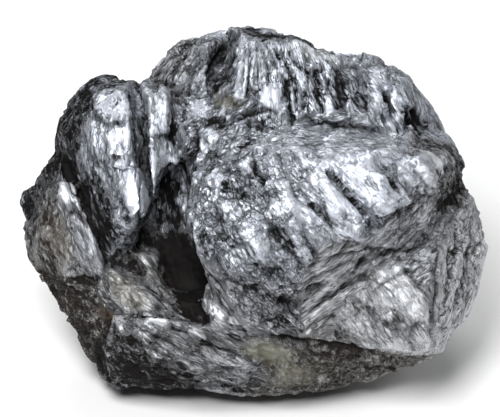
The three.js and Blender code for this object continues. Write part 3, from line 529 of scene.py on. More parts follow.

# %% [markdown]
# ## Plates and hollows
#
# Between the lines lie cleavage plates, small bright flats that stand a little proud, and dull
# hollows where the face is crushed. Painting them in the material alone would leave the plates
# curved, and a curved face never flashes all at once. So each is an oval that changes the skin as
# well, seen from the same four sides, with its long radius turned so many degrees from the right,
# and with its own rise, polish and flatness. Flatness draws the skin to a plane that leans a
# little up and to the left, as most cleavage here does. On the front, the low polish of a few
# hollows is painted shade: in the gap and the gully, on the column's flank and in the crest's
# notch.

# %% Plates and hollows
Oval = namedtuple("Oval", "at radii turn rise polish flat", defaults=[0])
PLATE_SLOPE = (0.105, -0.21)  # how far a plate comes out for each mm to the right, and up
FLATTEN_LIMIT = 2.4  # mm
SQUARENESS = 3  # 2 would make true ovals
OVAL_RAGGEDNESS = ((2.2, 0.3, 7), (0.8, 0.2, 9))  # size in mm, share of the radius, and seed
OVAL_END = 1.15  # how far out the oval ends, in radii
OVAL_BLEND = 0.3  # and over how much of the radius it fades
OVAL_MIDDLE = 0.8  # the plane of a plate is taken from where the oval is at least so strong
FRONT_OVALS = {
    "column_plate_top": Oval((-29.9, 22), (4.1, 3.3), 0, 0.35, 0.3, 1),
    "column_plate_middle": Oval((-28.4, 14.2), (4.4, 2.9), 98, 0.35, 0.58, 1),
    "column_plate_low": Oval((-25.2, 4.6), (5, 2.6), 102, 0.35, 1.35, 0.85),
    "column_right_plate": Oval((-20, 20), (4.2, 2.2), 92, 0.3, 0.4, 0.7),
    "column_right_plate_low": Oval((-21.6, 10), (4.5, 1.0), 92, 0.2, 0.4, 0.8),
    "column_band": Oval((-24.8, 21.5), (4.6, 0.8), 94, -0.15, 0.8),
    # painted shade on the column's flank
    "column_shadow": Oval((-32.6, 0), (9, 2.4), -66, -0.1, -0.1),
    "wedge": Oval((-18, 12), (3.2, 1.7), 105, 0.3, 0.5, 0.7),
    # painted shade in the gap and the gully
    "gap_dark": Oval((-17.5, 2), (6, 2.2), 90, -0.6, 0),
    "gully_dark": Oval((-14.6, -14), (9, 3), -70, -0.4, -0.45),
    "gully_rib": Oval((-21.6, -13), (5.4, 1.2), -66, 0.4, 0.35),
    "shard_facet": Oval((-39.4, 4.2), (2.6, 1.8), 110, 0.2, 0.95, 1),
    "shard_scoop": Oval((-35.8, -6), (5, 1.6), 115, -0.5, 0.5, 0.5),
    "crest_plate": Oval((4.3, 23.7), (3, 2.2), 90, 0.5, 0.95, 1),
    "crest_plate_left": Oval((-2.6, 27.5), (4.2, 1.2), 86, 0.4, 0.8, 0.6),
    "crest_plate_right": Oval((15.8, 22.6), (2.4, 1.1), 100, 0.4, 0.9, 0.8),
    "crest_plate_high": Oval((2.4, 32.4), (2.8, 2.0), 0, 0.3, 0.75, 0.5),
    "crest_plate_far": Oval((26.6, 23.6), (3.8, 1.3), 115, 0.4, 1, 0.6),
    "crest_boss": Oval((22, 28.7), (2.8, 2.2), 0, 0.9, 0.55, 0.5),
    "crest_brow_dull": Oval((22, 33), (9, 1.6), -14, 0, 0.3),
    "crest_facet": Oval((30.2, 22.2), (4.4, 1.9), 105, 0.2, 0.62, 0.9),
    # painted shade in the crest's notch
    "crest_notch": Oval((35, 19.8), (3.2, 2), -25, -1.4, -0.15, 0.5),
    "shoulder_shine": Oval((-14.6, 29.6), (3, 1.8), 70, 0.3, 0.42, 0.3),
    "shoulder_dark": Oval((-19, 30), (3.4, 1.6), 60, -0.2, 0.15),
    "saddle_shine": Oval((-11.6, 22.2), (2.4, 1.5), 0, 0.3, 0.72, 0.7),
    "saddle_dust": Oval((-5, 23.2), (2.8, 1.1), -15, -0.4, 0.25),
    "saddle_flake": Oval((-9.4, 15.4), (2.6, 1.8), 40, 0.3, 0.64, 0.7),
    "saddle_dark": Oval((-13.5, 12.5), (3.5, 1.5), 70, -0.3, 0),
    "saddle_dark_2": Oval((-7, 19), (3.6, 1.2), 10, -0.3, 0.1),
    "saddle_dark_3": Oval((-2.2, 12.4), (2.8, 1.2), 60, -0.3, 0.1),
    "under_arch": Oval((0.4, 18.4), (2.6, 1.3), 20, -0.7, 0.2),
    "nose_plate_1": Oval((17.2, 1.8), (7.4, 2.4), -42, 0.4, 0.85, 0.9),
    "nose_plate_2": Oval((23.8, 5.3), (7, 2.5), -47, 0.5, 0.85, 0.9),
    "nose_plate_3": Oval((34, 7.8), (4.4, 2.3), -45, 0.5, 0.75, 0.9),
    "nose_plate_low": Oval((20.4, -2.2), (3.4, 1.3), -20, 0.3, 0.75, 0.8),
    "nose_plate_left": Oval((9.2, 0.6), (4.2, 1.5), -48, 0.3, 0.76, 0.7),
    "nose_dark": Oval((28.4, -1.4), (6, 1.2), 25, -0.3, 0.25),
    "nose_tip_shine": Oval((37.5, 11), (3.0, 1.6), -30, 0.3, 0.76, 0.8),
    "belly_shine_1": Oval((5.2, 0.8), (2.7, 1.6), -20, 0.3, 0.72, 0.8),
    "belly_shine_2": Oval((-5.4, 0), (2.2, 1.8), -30, 0.3, 0.72, 0.8),
    "belly_shine_3": Oval((-1, 9.6), (2.6, 1.6), 20, 0.3, 0.7, 0.8),
    "belly_shine_4": Oval((-8, 6.4), (2.2, 1.6), -30, 0.3, 0.84, 0.7),
    "belly_plate_1": Oval((0.4, -6.6), (4.8, 2.0), -50, 0.4, 0.5, 0.7),
    "belly_plate_2": Oval((9.6, -7.4), (3.8, 1.5), -58, 0.4, 0.68, 0.7),
    "belly_dark": Oval((-9.4, -8), (4.0, 2.2), -60, -0.3, 0.15),
    "belly_dark_2": Oval((5.8, -5.6), (4.2, 1.5), -48, -0.4, 0.12),
    "belly_dark_3": Oval((-4.4, 4.6), (3, 1.3), -30, -0.3, 0.15),
    "apron_dark": Oval((2, -20.4), (6.5, 2.4), -20, -0.5, 0.12),
    "slab_bright": Oval((31, -18), (7.0, 4.2), -60, 0.2, 0.72, 0.7),
    "slab_top": Oval((33, -12.4), (6, 2.2), 28, 0.1, 0.8),
    "slab_dark_1": Oval((23.5, -25.6), (5.5, 1.5), -38, -0.3, 0.35),
    "slab_dark_2": Oval((38.4, -17), (8, 1.2), 84, -0.3, 0.25),
    "slab_smooth": Oval((22, -23), (5.0, 2.6), -55, 0.1, 0.5, 0.5),
    "slab_foot": Oval((15, -25.6), (6.5, 1.6), -8, -0.2, 0.25),
    "leaf_shine": Oval((-8.6, -20.6), (3.4, 1.3), -35, 0.3, 0.62, 0.8),
    "spur_ridge": Oval((-25.6, -18.4), (5.0, 1.8), -38, 0.3, 0.6, 0.5),
    "front_fleck_1": Oval((-20.4, -22.8), (2.6, 0.8), -20, 0.2, 0.96, 0.8),
    "front_fleck_2": Oval((-11.8, -26.2), (2.2, 0.8), -25, 0.2, 0.84, 0.8),
    "under_fleck_1": Oval((23.8, -31.4), (1.3, 0.6), 0, 0.1, 0.88),
    "under_fleck_2": Oval((14.8, -35.6), (1.1, 0.8), 0, 0.1, 0.88),
}

# %% Plates and hollows on the back and the two sides
BACK_OVALS = {
    "plate_1": Oval((-3.4, 16), (5.2, 2.8), 88, 0.4, 0.75, 0.8),
    "plate_2": Oval((-14, 5), (6.2, 2.6), 8, 0.4, 0.7, 0.8),
    "plate_3": Oval((-25, 16.5), (4.6, 2.2), 88, 0.4, 0.65, 0.8),
    "plate_4": Oval((10, 15), (4.6, 2.2), 95, 0.4, 0.7, 0.8),
    "plate_5": Oval((28.4, 13), (4.6, 2.4), 95, 0.4, 0.7, 0.8),
    "plate_6": Oval((-9, -6), (5.5, 2.2), -32, 0.3, 0.65, 0.72),
    "plate_7": Oval((-21, -8), (4, 2.6), -20, 0.3, 0.6, 0.64),
    "plate_8": Oval((1, -19), (7, 2.8), 25, 0.4, 0.55, 0.72),
    "plate_9": Oval((22, -17), (4.5, 3.6), 75, 0.3, 0.57, 0.72),
    "plate_10": Oval((-32, 20), (5, 1.8), 88, 0.3, 0.6, 0.64),
    "plate_11": Oval((-18.6, 26), (5, 1.4), 88, 0.3, 0.7, 0.64),
    "plate_12": Oval((-3, 26), (3.6, 1.6), 92, 0.3, 0.65, 0.64),
    "dark_1": Oval((17, 6), (6, 2.4), -60, -0.4, 0),
    "dark_2": Oval((-33, -6), (8, 2.6), 78, -0.3, 0),
    "dark_3": Oval((7, -3), (5, 2), -30, -0.4, 0.05),
    "dark_4": Oval((-18, -20), (7, 2), -14, -0.4, 0.1),
    "dark_5": Oval((17, -29), (6, 2), 100, -0.3, 0),
    "dark_6": Oval((-9.6, 24), (6, 1.2), 90, -0.3, 0.15),
    "dark_7": Oval((34, -4), (6, 2), 80, -0.3, 0.1),
}
RIGHT_OVALS = {
    "plate_1": Oval((9, 1), (6, 4), 75, 0.3, 0.8, 1),
    "plate_2": Oval((-8, -5), (7, 2), -25, 0.3, 0.8, 0.9),
    "plate_3": Oval((-17, -23), (5, 3.4), 70, 0.3, 0.75, 0.8),
    "plate_4": Oval((-19, 8), (4.6, 2.4), -60, 0.3, 0.75, 0.8),
    "plate_5": Oval((5.6, 22), (6, 2.2), 112, 0.3, 0.8, 0.8),
    "plate_6": Oval((26, -16), (6, 2.4), 85, 0.3, 0.65, 0.8),
    "dark_1": Oval((-27, -2), (5, 2.4), 80, -0.4, 0),
    "dark_2": Oval((11, -24), (7, 2), -60, -0.4, -0.1),
    "dark_3": Oval((20, 12), (7, 1.8), 110, -0.3, 0.1),
}
LEFT_OVALS = {
    "plate_1": Oval((-8, 17), (4.4, 3), -10, 0.3, 0.8, 1),
    "plate_2": Oval((-23, 15), (5, 2.4), 80, 0.3, 0.65, 0.8),
    "plate_3": Oval((-20, -12), (7, 2.8), 85, 0.3, 0.6, 0.8),
    "plate_4": Oval((20, 19), (6, 2.4), 95, 0.3, 0.5, 0.8),
    "plate_5": Oval((5, -19), (5, 3), 30, 0.3, 0.4, 0.8),
    "dark_1": Oval((12, 2), (8, 2.4), 95, -0.4, -0.1),
    "dark_2": Oval((-12, -20), (7, 2.4), 100, -0.4, 0),
}
OVALS = {0: FRONT_OVALS, 180: BACK_OVALS, 90: RIGHT_OVALS, 270: LEFT_OVALS}


# %% Press the plates and hollows in
def oval_reach(view, oval):
    """How far out each point lies: 0 in the middle of the oval, 1 on its squarish edge."""
    turn = math.radians(oval.turn)
    right, up = view[:, 0] - oval.at[0], view[:, 1] - oval.at[1]
    along = right * math.cos(turn) + up * math.sin(turn)
    across = up * math.cos(turn) - right * math.sin(turn)
    parts = np.abs([along / oval.radii[0], across / oval.radii[1]]) ** SQUARENESS
    return parts.sum(axis=0) ** (1 / SQUARENESS)


polish = of_area(shares, "polish")
raised = np.zeros(len(rest))
levelled = np.zeros_like(rest)
plate = np.zeros(len(rest))
for turn, ovals in OVALS.items():
    near = claims[turn] > 0
    places = seen(rest[near], turn)
    ragged = sum(share * noise(places / size, seed) for size, share, seed in OVAL_RAGGEDNESS)
    shifted = np.zeros(len(places))
    for oval in ovals.values():
        inside = (OVAL_END - oval_reach(places, oval) - ragged) / OVAL_BLEND
        mask = np.clip(inside, 0, 1) * claims[turn][near]
        raised[near] += oval.rise * mask
        polish[near] += (oval.polish - polish[near]) * mask
        middle = mask > OVAL_MIDDLE
        if oval.flat and middle.any():
            offset = (places[:, :2] - oval.at) @ PLATE_SLOPE
            level = np.median((places[:, 2] - offset)[middle]) + offset
            shift = np.clip(level - places[:, 2], -FLATTEN_LIMIT, FLATTEN_LIMIT)
            shifted += oval.flat * mask * (shift - shifted)
            plate[near] = np.maximum(plate[near], oval.flat * mask)
    levelled[near] += shifted[:, None] * (spin(turn) @ OUT)
print("plates raised by up to", round(raised.max(), 2), "mm")

# %% [markdown]
# ## Hollows and edges
#
# How hollow or how proud the skin is at each point decides a good deal: crushed, dull graphite
# lies in the hollows, and the proud edges are rubbed bright. The colour also paints shade into the
# hollows and highlights onto the proud edges. The measure is each point's distance to the average
# of its surroundings, found by sharing places between neighbours a number of times.
# The same average, with none of the small forms left in it, is what the worn floor of the gully
# looks like, so a few areas are drawn to it.

# %% Hollows and edges
SHARING_PASSES = 60
HOLLOW_DEPTH = 0.9  # mm below its surroundings at which a point counts as fully hollow
HOLLOW_FROM = 0.5  # how hollow, or how proud, a point has to be to be counted below
SOFTENED = {"gully": 1.0, "gap": 0.7, "gully_side": 0.7, "shard": 0.4, "nose_top": 0.5}


def surroundings(mesh, points, passes):
    """Each point's place after it has been shared with its neighbours so many times."""
    edges = np.empty(len(mesh.edges) * 2, np.int64)
    mesh.edges.foreach_get("vertices", edges)
    first, second = edges[0::2], edges[1::2]
    count = np.bincount(edges, minlength=len(points))[:, None]
    mean = points.copy()
    for _ in range(passes):
        total = np.empty_like(mean)
        for axis in range(3):
            total[:, axis] = np.bincount(first, mean[second, axis], len(points))
            total[:, axis] += np.bincount(second, mean[first, axis], len(points))
        mean = total / count
    return mean


mean = surroundings(skin, rest, SHARING_PASSES)
hollow = np.clip(((mean - rest) * normals_of(skin)).sum(axis=1) / HOLLOW_DEPTH, -1, 1)
print("hollow points:", (hollow > HOLLOW_FROM).sum(), "proud:", (hollow < -HOLLOW_FROM).sum())
soft = shares @ np.array([SOFTENED.get(name, 0.0) for name in AREAS])
base = rest + (mean - rest) * (soft * (1 - plate))[:, None] + levelled
skin.vertices.foreach_set("co", base.ravel())
skin.update()

# %% [markdown]
# ## Relief
#
# Over the drawn forms come the swells of the whole surface, the furrows between its flutes, and
# flakes in two sizes whose plates overlap like shingles. They could be a bump in the material, but
# then the outline and the shadows would stay smooth, so they move the skin along its normals. The
# floors of grooves, the proud edges and the plates keep less of them. The resting face underneath
# stays flat.

# %% Sizes of the relief
SWELL = (9.0, 0.5)  # across and height, mm
FURROW_DEPTH = 1.5  # mm, in an area whose flutes are at full depth
FURROWS = ((2.6, 0.30, 1.0), (1.3, 0.34, 0.55))  # apart, width, and share of the area's depth
FLAKE_SIZES = ((3.6, 1.1), (1.6, 0.4))  # across, and share of the area's flake height
GRIT = (0.9, 0.07)
WEAR = ((5.0, 0.2), (2.0, 0.3), (0.9, 0.2))  # across, and how much it changes the polish
EDGE_WEAR_AND_PAINTED_LIGHT = 0.42  # more polish on proud edges, and less in hollows: wear, with painted highlight and painted shade
RIB_WEAR_AND_HIGHLIGHT = 1.0  # more polish, worn and painted highlight, for each mm that a drawn rib stands up
WEAR_START = 0.35  # added to a point's polish, says how much that polish changes
LEAST_WEAR = 0.25
EDGE_CALM = 0.8  # how much of the flakes and furrows is lost on a sharp proud edge
HOLLOW_CALM = 0.5  # in a full hollow
CUT_CALM = 0.8  # on the floor of a deep cut
DEEP_CUT = 0.8  # mm
PLATE_CALM = {"flute": 0.85, "flake": 0.75, "grit": 0.6}  # on a flat plate
BASE_FLAT = 0.05  # mm above the resting face that stay as they are
BASE_FADE = 1.5  # mm above it over which the relief comes in

# %% Relief
relief = raised + stepped + noise(rest / SWELL[0], 10) * SWELL[1]
calm = 1 - HOLLOW_CALM * np.clip(hollow, 0, 1)
calm *= 1 - CUT_CALM * np.clip(-carved / DEEP_CUT, 0, 1)
calm *= 1 - EDGE_CALM * np.clip(-hollow, 0, 1)
flute = of_area(shares, "flute") * calm * (1 - PLATE_CALM["flute"] * plate)
furrowed = np.zeros(len(rest))
for (apart, width, share), seed in zip(FURROWS, (11, 12)):
    furrowed += share * furrows(grain / apart, seed, width)
relief -= FURROW_DEPTH * flute * furrowed
flake = of_area(shares, "flake") * calm * (1 - PLATE_CALM["flake"] * plate)
for (across, share), seed in zip(FLAKE_SIZES, (13, 14)):
    relief += flakes(grain / across, seed) * flake * share
relief += noise(grain / GRIT[0], 15) * GRIT[1] * calm * (1 - PLATE_CALM["grit"] * plate)
wearable = np.clip(WEAR_START + polish, LEAST_WEAR, 1)
for across, change in WEAR:
    polish += noise(grain / across, 16) * change * wearable
# hollows darker and proud edges lighter: wear, painted shade and painted highlight
polish -= hollow * EDGE_WEAR_AND_PAINTED_LIGHT
# drawn ribs lighter: wear, and a painted highlight along them
polish += np.clip(carved, 0, 1) * RIB_WEAR_AND_HIGHLIGHT
off_base = np.clip((rest[:, 2] - BASE_FLAT) / BASE_FADE, 0, 1)
moved = base + normals_of(skin) * ((relief + carved) * off_base)[:, None]
low, high = (np.array(corner) / MM for corner in cad_box)
moved = np.clip(moved, low, high)
skin.vertices.foreach_set("co", moved.ravel())
skin.update()
print("relief from", round(relief.min(), 2), "to", round(relief.max(), 2), "mm")

# %% [markdown]
# ## Marks for the material
#
# The material needs to know a few things at each point: its place along the grain, how polished
# it is, how deep it is cut, how strong its flutes and flakes are, how much brown earth clings to
# it, and how much pale clay. The polish also carries painted shade and painted highlights, and the
# depth of a cut is painted as the shade in cracks, grooves and furrows. Images could carry them,
# but they would need unwrapping, and points this close together hold them well enough as
# attributes. Earth lies over whole areas, and both earth and clay spread from a few stains. The
# skin then has all its detail, so it is thinned where it is smooth and brought back to metres.

# %% Stains
Stain = namedtuple("Stain", "at radii turn strength")
EARTH_STAINS = {
    "gully_mouth": Stain((-16, -12), (9.0, 4.0), 100, 0.06),
    "shard_patch": Stain((-42, -6), (5.0, 2.4), 110, 0.5),
    "ochre_spot": Stain((-31.5, -21.8), (1.8, 1.0), -20, 1.4),
    "spur_stain": Stain((-27, -17), (4.5, 2.2), -40, 0.35),
}
CLAY_STAINS = {
    "clay_patch": Stain((3.4, -29.8), (4.6, 2.2), -12, 0.75),
    "clay_trail": Stain((9, -35), (5.0, 2.4), 10, 0.45),
    "saddle_clay": Stain((-5, 23.4), (3.0, 1.4), -15, 0.45),
    "rim_clay": Stain((14, 33.4), (6.0, 1.4), -14, 0.3),
}
STAIN_RAGGEDNESS = (1.4, 0.4)  # size in mm, and share of the radius
STAIN_END = 1.4  # how far out a stain ends, in radii


def stained(view, stains):
    """How strongly the stains, which are drawn as seen from the front, colour each point."""
    strength = np.zeros(len(view))
    size, share = STAIN_RAGGEDNESS
    for stain in stains.values():
        reach = oval_reach(view, stain) + share * noise(view / size, 8)
        strength = np.maximum(strength, stain.strength * np.clip(STAIN_END - reach, 0, 1))
    return strength * claims[0]


# %% Attributes
MOST_EARTH = 1.5
CUT_FULLY_SHADED = 1.1  # mm of cut at which a crack or groove takes its full painted shade
FURROW_SHADED = 0.8  # how much painted shade a furrow at full depth takes


def write(mesh, name, kind, values):
    """An attribute with one value, or one vector, at each point."""
    field = "vector" if kind == "FLOAT_VECTOR" else "value"
    mesh.attributes.new(name, kind, "POINT").data.foreach_set(field, values.ravel())


earth = np.clip(of_area(shares, "earth") + stained(view, EARTH_STAINS), 0, MOST_EARTH)
write(skin, "grain", "FLOAT_VECTOR", grain)
write(skin, "polish", "FLOAT", polish)
# cut: painted shade in the cracks, grooves and furrows, from their depth
write(skin, "cut", "FLOAT", np.clip(-carved / CUT_FULLY_SHADED + FURROW_SHADED * flute * furrowed, 0, 1))
write(skin, "earth", "FLOAT", earth)
write(skin, "flute", "FLOAT", flute)
write(skin, "flake", "FLOAT", flake)
write(skin, "clay", "FLOAT", stained(view, CLAY_STAINS))

# %% Thin the skin
FACES_KEPT = 0.34
decimate = lump.modifiers.new("spend faces on detail", "DECIMATE")
decimate.ratio = FACES_KEPT
skin = baked(lump)
skin.validate()  # thinning can leave a face twice
kept = np.clip(points_of(skin), low, high)  # and moves a few points past the solid's box
skin.vertices.foreach_set("co", kept.ravel())
skin.update()
triangles = sum(len(face.vertices) - 2 for face in skin.polygons)
skin.transform(Matrix.Scale(MM, 4))
skin.shade_smooth()
print("surface:", triangles, "triangles")

# %% Put the piece in the solid's place
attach(lump, "root")
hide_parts("graphite_lump")

# %% [markdown]
# ## Graphite
#
# Graphite reflects like a dark metal. Its flakes each face their own way, so a broken face is a
# crowd of small mirrors, bright or black, with a cool cast; where it is crushed or dusty it turns
# dull and slightly brown. Noise in the roughness is the usual way to break up a metal, but on
# rounded forms it looks wet. So the material parts the face into flakes of three sizes, each with
# its own lean and its own shade and with painted shade in the crevices along its edge, and lays
# fine striations over them, whose furrows are painted dark as shade. The cracks and grooves that
# the skin carries are painted dark as shade too. The flakes and the striations are node groups,
# so that each size is the same group with other values.


# %% Node helpers
def new_group(name, inputs, outputs):
    """An empty node group with named sockets: its tree, its input node and its output node."""
    tree = bpy.data.node_groups.new(name, "ShaderNodeTree")
    for label, kind, value in inputs:
        socket = tree.interface.new_socket(label, in_out="INPUT", socket_type=kind)
        if value is not None:
            socket.default_value = value
    for label, kind in outputs:
        tree.interface.new_socket(label, in_out="OUTPUT", socket_type=kind)
    return tree, tree.nodes.new("NodeGroupInput"), tree.nodes.new("NodeGroupOutput")


def add(tree, kind, links=(), **settings):
    """A node with its settings, and its inputs set to a value or linked to a socket."""
    node = tree.nodes.new("ShaderNode" + kind)
    for key, value in settings.items():
        setattr(node, key, value)
    for key, value in dict(links).items():
        if isinstance(value, bpy.types.NodeSocket):
            tree.links.new(value, node.inputs[key])
        else:
            node.inputs[key].default_value = value
    return node


def limit(tree, value):
    """The value, kept between 0 and 1."""
    return add(tree, "Clamp", {"Value": value}).outputs[0]


def mix(tree, first, second, share):
    """A colour so far from the first colour to the second; 6 and 7 are a Mix node's colours."""
    return add(tree, "Mix", {6: first, 7: second, 0: share}, data_type="RGBA").outputs[2]


def maths(tree, operation, *values):
    """One sum of numbers, each given as a value or a socket."""
    return add(tree, "Math", enumerate(values), operation=operation).outputs[0]


def vectors(tree, operation, *values):
    """The same for vectors."""
    return add(tree, "VectorMath", enumerate(values), operation=operation).outputs[0]


def combine(tree, value):
    """The same value three times, as a vector."""
    return add(tree, "CombineXYZ", {"X": value, "Y": value, "Z": value}).outputs[0]


# %% Flakes that each face their own way
MIDDLE = (0.5, 0.5, 0.5)  # of a random colour, which stands for no shift and no lean
EDGE_WARP = 0.45  # of a flake's size by which its straight edges wander
EDGE_WIDTH = 0.11  # of a flake's size over which the painted shade in the crevice at its edge shows


def flake_group():
    """Cells drawn out along the grain, each with its own lean and shade, and their edges."""
    tree, ins, outs = new_group(
        "Flake facets",
        [("Grain", "NodeSocketVector", None), ("Size", "NodeSocketFloat", 1.0),
         ("Tilt", "NodeSocketFloat", 0.5), ("Normal", "NodeSocketVector", None)],
        [("Normal", "NodeSocketVector"), ("Shade", "NodeSocketFloat"), ("Edge", "NodeSocketFloat")],
    )
    scale = maths(tree, "DIVIDE", 1.0, ins.outputs["Size"])
    warp = add(tree, "TexNoise", {
        "Vector": ins.outputs["Grain"], "Scale": scale, "Detail": 2.0, "Roughness": 0.6,
    })
    shift = vectors(tree, "SUBTRACT", warp.outputs["Color"], MIDDLE)
    reach = maths(tree, "MULTIPLY", ins.outputs["Size"], EDGE_WARP)
    shift = vectors(tree, "MULTIPLY", shift, combine(tree, reach))
    place = vectors(tree, "ADD", ins.outputs["Grain"], shift)
    parted = {"Vector": place, "Scale": scale, "Randomness": 1.0}
    cells = add(tree, "TexVoronoi", parted)
    borders = add(tree, "TexVoronoi", parted, feature="DISTANCE_TO_EDGE")
    edge = add(tree, "MapRange", {
        "Value": borders.outputs["Distance"], "From Max": EDGE_WIDTH, "To Min": 1.0, "To Max": 0.0,
    })
    centred = vectors(tree, "SUBTRACT", cells.outputs["Color"], MIDDLE)
    lean = add(tree, "VectorMath", {0: centred, "Scale": ins.outputs["Tilt"]}, operation="SCALE")
    turned = vectors(tree, "ADD", ins.outputs["Normal"], lean.outputs[0])
    tree.links.new(vectors(tree, "NORMALIZE", turned), outs.inputs["Normal"])
    shade = add(tree, "SeparateColor", {"Color": cells.outputs["Color"]})
    tree.links.new(shade.outputs[0], outs.inputs["Shade"])
    tree.links.new(edge.outputs[0], outs.inputs["Edge"])
    return tree


# %% Fine striations and furrows along the grain
STRIATION_SHAPE = (1.0, 0.2, 0.5)  # how fine they are across the grain, along it and in depth
FURROW_WIDTH = 0.035  # how near its middle value the noise has to be for a furrow


def striation_group():
    """Fine lines along the grain: their height, and narrow furrows along them, which the material
    paints dark as shade.
    """
    tree, ins, outs = new_group(
        "Striations",
        [("Grain", "NodeSocketVector", None), ("Width", "NodeSocketFloat", 0.5)],
        [("Height", "NodeSocketFloat"), ("Furrow", "NodeSocketFloat")],
    )
    shrunk = vectors(tree, "MULTIPLY", ins.outputs["Grain"], STRIATION_SHAPE)
    lines = add(tree, "TexNoise", {
        "Vector": shrunk,
        "Scale": maths(tree, "DIVIDE", 1.0, ins.outputs["Width"]),
        "Detail": 3.0,
        "Roughness": 0.6,
    }).outputs[0]
    off_line = maths(tree, "ABSOLUTE", maths(tree, "SUBTRACT", lines, 0.5))
    furrow = add(tree, "MapRange", {
        "Value": off_line, "From Max": FURROW_WIDTH, "To Min": 1.0, "To Max": 0.0,
    })
    tree.links.new(lines, outs.inputs["Height"])
    tree.links.new(furrow.outputs[0], outs.inputs["Furrow"])
    return tree


FLAKE_GROUP = flake_group()
STRIATION_GROUP = striation_group()

# %% The graphite material
DARK = (0.009, 0.009, 0.0095, 1)  # the dullest graphite, and the colour of painted shade
BRIGHT = (0.59, 0.622, 0.69, 1)  # the most polished, and the colour of painted highlights
FILMED = (0.625, 0.625, 0.61, 1)  # the same under a thin film of earth
EARTH = (0.055, 0.041, 0.033, 1)
CLAY = (0.22, 0.215, 0.165, 1)
FILM_FROM_EARTH = 4.0  # a quarter as much earth as would colour the face takes its cool cast away
ROUGH_POLISHED = 0.5
ROUGH_DULL = 0.75
METAL = 0.75
SPECULAR = 0.15

# size in mm, lean (with the area's flakes, and without them), and how much the shade changes
Flakes = namedtuple("Flakes", "size lean least_lean change")
FLAKES = {
    "broad": Flakes(1.9, 0.95, 0.18, 0.5),
    "coarse": Flakes(0.8, 0.6, 0.12, 0.65),
    "fine": Flakes(0.32, 0.35, 0.12, 0.42),
}
MIDDLE_SHADE = 0.4  # the shade of a flake that is neither brighter nor darker than the polish says
# below the first polish only a quarter of that change shows, and above the second one all of it
LIVELY = {"From Min": -0.5, "From Max": -0.1, "To Min": 0.25, "To Max": 1.0}
CREVICE_SHADE = (1.2, 0.2)  # how dark the painted shade in the crevices at flake edges is: with the area's flakes, and without them
STRIATION_WIDTH = 0.5  # mm
STRIATION_HEIGHT = 0.00035  # m
STRIATION_BUMP = (1.0, 0.1)  # painted shade in the furrows: with the area's flutes, and without them
FURROW_SHADE = (1.0, 0.45)  # likewise


def graphite():
    """The one material, whose look follows the attributes of the skin."""
    material = bpy.data.materials.new("graphite")
    material.use_nodes = True
    tree = material.node_tree
    tree.nodes.clear()
    grain = add(tree, "Attribute", attribute_name="grain").outputs["Vector"]
    polish, cut, earth, clay, flute, flake = (
        add(tree, "Attribute", attribute_name=name).outputs["Fac"]
        for name in ("polish", "cut", "earth", "clay", "flute", "flake")
    )

    lively = add(tree, "MapRange", {"Value": polish, **LIVELY}).outputs[0]
    normal = add(tree, "NewGeometry").outputs["Normal"]
    shine = polish
    edges = []
    for size, lean, least_lean, change in FLAKES.values():
        tilt = maths(tree, "MULTIPLY_ADD", flake, lean, least_lean)
        flakes = add(tree, "Group", {
            "Grain": grain, "Size": size, "Tilt": tilt, "Normal": normal,
        }, node_tree=FLAKE_GROUP)
        normal = flakes.outputs["Normal"]
        offset = -change * MIDDLE_SHADE
        lighter = maths(tree, "MULTIPLY_ADD", flakes.outputs["Shade"], change, offset)
        shine = maths(tree, "MULTIPLY_ADD", lighter, lively, shine)
        edges.append(flakes.outputs["Edge"])
    lines = add(tree, "Group", {
        "Grain": grain, "Width": STRIATION_WIDTH,
    }, node_tree=STRIATION_GROUP)
    bump = add(tree, "Bump", {
        "Strength": maths(tree, "MULTIPLY_ADD", flute, *STRIATION_BUMP),
        "Distance": STRIATION_HEIGHT,
        "Height": lines.outputs["Height"],
        "Normal": normal,
    })

    crevice_shade = maths(tree, "MAXIMUM", edges[0], edges[1])  # the finest flakes get no painted shade at their edges
    crevice_shade = maths(tree, "MULTIPLY", crevice_shade, maths(tree, "MULTIPLY_ADD", flake, *CREVICE_SHADE))
    # painted shade in cuts, and in the crevices at flake edges
    painted_shade = maths(tree, "MINIMUM", maths(tree, "ADD", cut, crevice_shade), 1.0)
    # painted shade in the striations' furrows
    furrow = maths(tree, "MULTIPLY_ADD", flute, *FURROW_SHADE)
    furrow = maths(tree, "MULTIPLY", lines.outputs["Furrow"], furrow)
    unfurrowed = maths(tree, "MAXIMUM", maths(tree, "SUBTRACT", 1.0, furrow), 0.0)
    shine = maths(tree, "MULTIPLY", shine, maths(tree, "SUBTRACT", 1.0, painted_shade))
    shine = limit(tree, maths(tree, "MULTIPLY", shine, unfurrowed))

    film = limit(tree, maths(tree, "MULTIPLY", earth, FILM_FROM_EARTH))
    mineral = mix(tree, DARK, mix(tree, BRIGHT, FILMED, film), shine)
    bare = limit(tree, maths(tree, "SUBTRACT", 1.0, maths(tree, "ADD", clay, earth)))
    rough = add(tree, "MapRange", {
        "Value": shine, "To Min": ROUGH_DULL, "To Max": ROUGH_POLISHED,
    })
    shader = add(tree, "BsdfPrincipled", {
        "Base Color": mix(tree, mix(tree, mineral, EARTH, earth), CLAY, clay),
        "Metallic": maths(tree, "MULTIPLY", bare, METAL),
        "Specular IOR Level": SPECULAR,
        "Roughness": rough.outputs[0],
        "Normal": bump.outputs[0],
    })
    output = add(tree, "OutputMaterial")
    tree.links.new(shader.outputs[0], output.inputs[0])
    return material


skin.materials.append(graphite())
print("materials:", [material.name for material in skin.materials])

# %% [markdown]
# ## The studio
#
# A specimen is shown on pale paper under soft light. A single lamp would leave half of it black,
# and an even surround alone would leave the flakes grey, so there are three large lights and a dim
# surround. The key light, above and a little to the left of the camera, makes the faces turned to
# the viewer flare. One from above and one from the right keep the far faces and the shadow on the
# floor open.

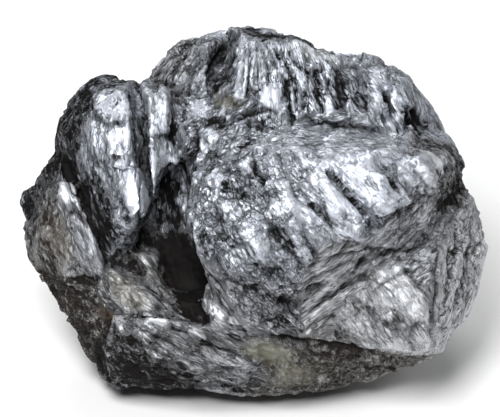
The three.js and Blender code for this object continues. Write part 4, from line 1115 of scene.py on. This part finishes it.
# %% Floor
FLOOR_SIZE = 3.0  # m
PAPER = (0.9, 0.9, 0.9, 1)
PAPER_ROUGHNESS = 0.9
bpy.ops.mesh.primitive_plane_add(size=FLOOR_SIZE, location=(0, 0, 0))
floor = bpy.context.object
floor.name = "studio_floor"
paper = bpy.data.materials.new("pale paper")
paper.use_nodes = True
paper_shader = paper.node_tree.nodes["Principled BSDF"]
paper_shader.inputs["Base Color"].default_value = PAPER
paper_shader.inputs["Roughness"].default_value = PAPER_ROUGHNESS
floor.data.materials.append(paper)

# %% Camera
LENS = 400  # mm, so long that the lump is seen almost without perspective
SENSOR = 36  # mm
CLIPS = (0.1, 20)  # m
VIEW_WIDTH = 107.07  # mm across the picture at the lump's middle
AIM_SHIFT = (-0.75, 0.64)  # right and up of the viewer's centre
aim = VIEWER_CENTRE + RIGHT * AIM_SHIFT[0] + UP * AIM_SHIFT[1]
distance = LENS / SENSOR * VIEW_WIDTH
camera = bpy.data.objects.new("camera", bpy.data.cameras.new("camera"))
bpy.context.scene.collection.objects.link(camera)
camera.data.lens = LENS
camera.data.sensor_width = SENSOR
camera.data.clip_start, camera.data.clip_end = CLIPS
camera.location = Vector((aim + OUT * distance) * MM)
camera.rotation_mode = "QUATERNION"
camera.rotation_quaternion = Vector(-OUT).to_track_quat("-Z", "Y")
bpy.context.scene.camera = camera

# %% Lights
# right, up and out of the lump in mm, size in mm, and power in watts
Softbox = namedtuple("Softbox", "at size power")
SOFTBOXES = {
    "key": Softbox((-110, 200, 460), 260, 3.65),
    "top": Softbox((-40, 520, -60), 320, 1.5),
    "side": Softbox((420, 260, 120), 300, 0.6),
}
SURROUND = (0.9, 0.92, 0.95, 1)
SURROUND_STRENGTH = 0.05


def add_softbox(name, place, size, power):
    """A square light at that place, aimed at the lump."""
    light = bpy.data.lights.new(name, "AREA")
    light.energy = power
    light.size = size * MM
    holder = bpy.data.objects.new(name, light)
    bpy.context.scene.collection.objects.link(holder)
    at = VIEWER_CENTRE + np.array(place, float) @ AXES
    holder.location = Vector(at * MM)
    holder.rotation_mode = "QUATERNION"
    holder.rotation_quaternion = Vector(VIEWER_CENTRE - at).to_track_quat("-Z", "Y")


for name, box in SOFTBOXES.items():
    add_softbox(name, *box)
world = bpy.data.worlds.new("surround")
world.use_nodes = True
background = world.node_tree.nodes["Background"]
background.inputs["Color"].default_value = SURROUND
background.inputs["Strength"].default_value = SURROUND_STRENGTH
bpy.context.scene.world = world
bpy.context.scene.view_settings.view_transform = "Standard"
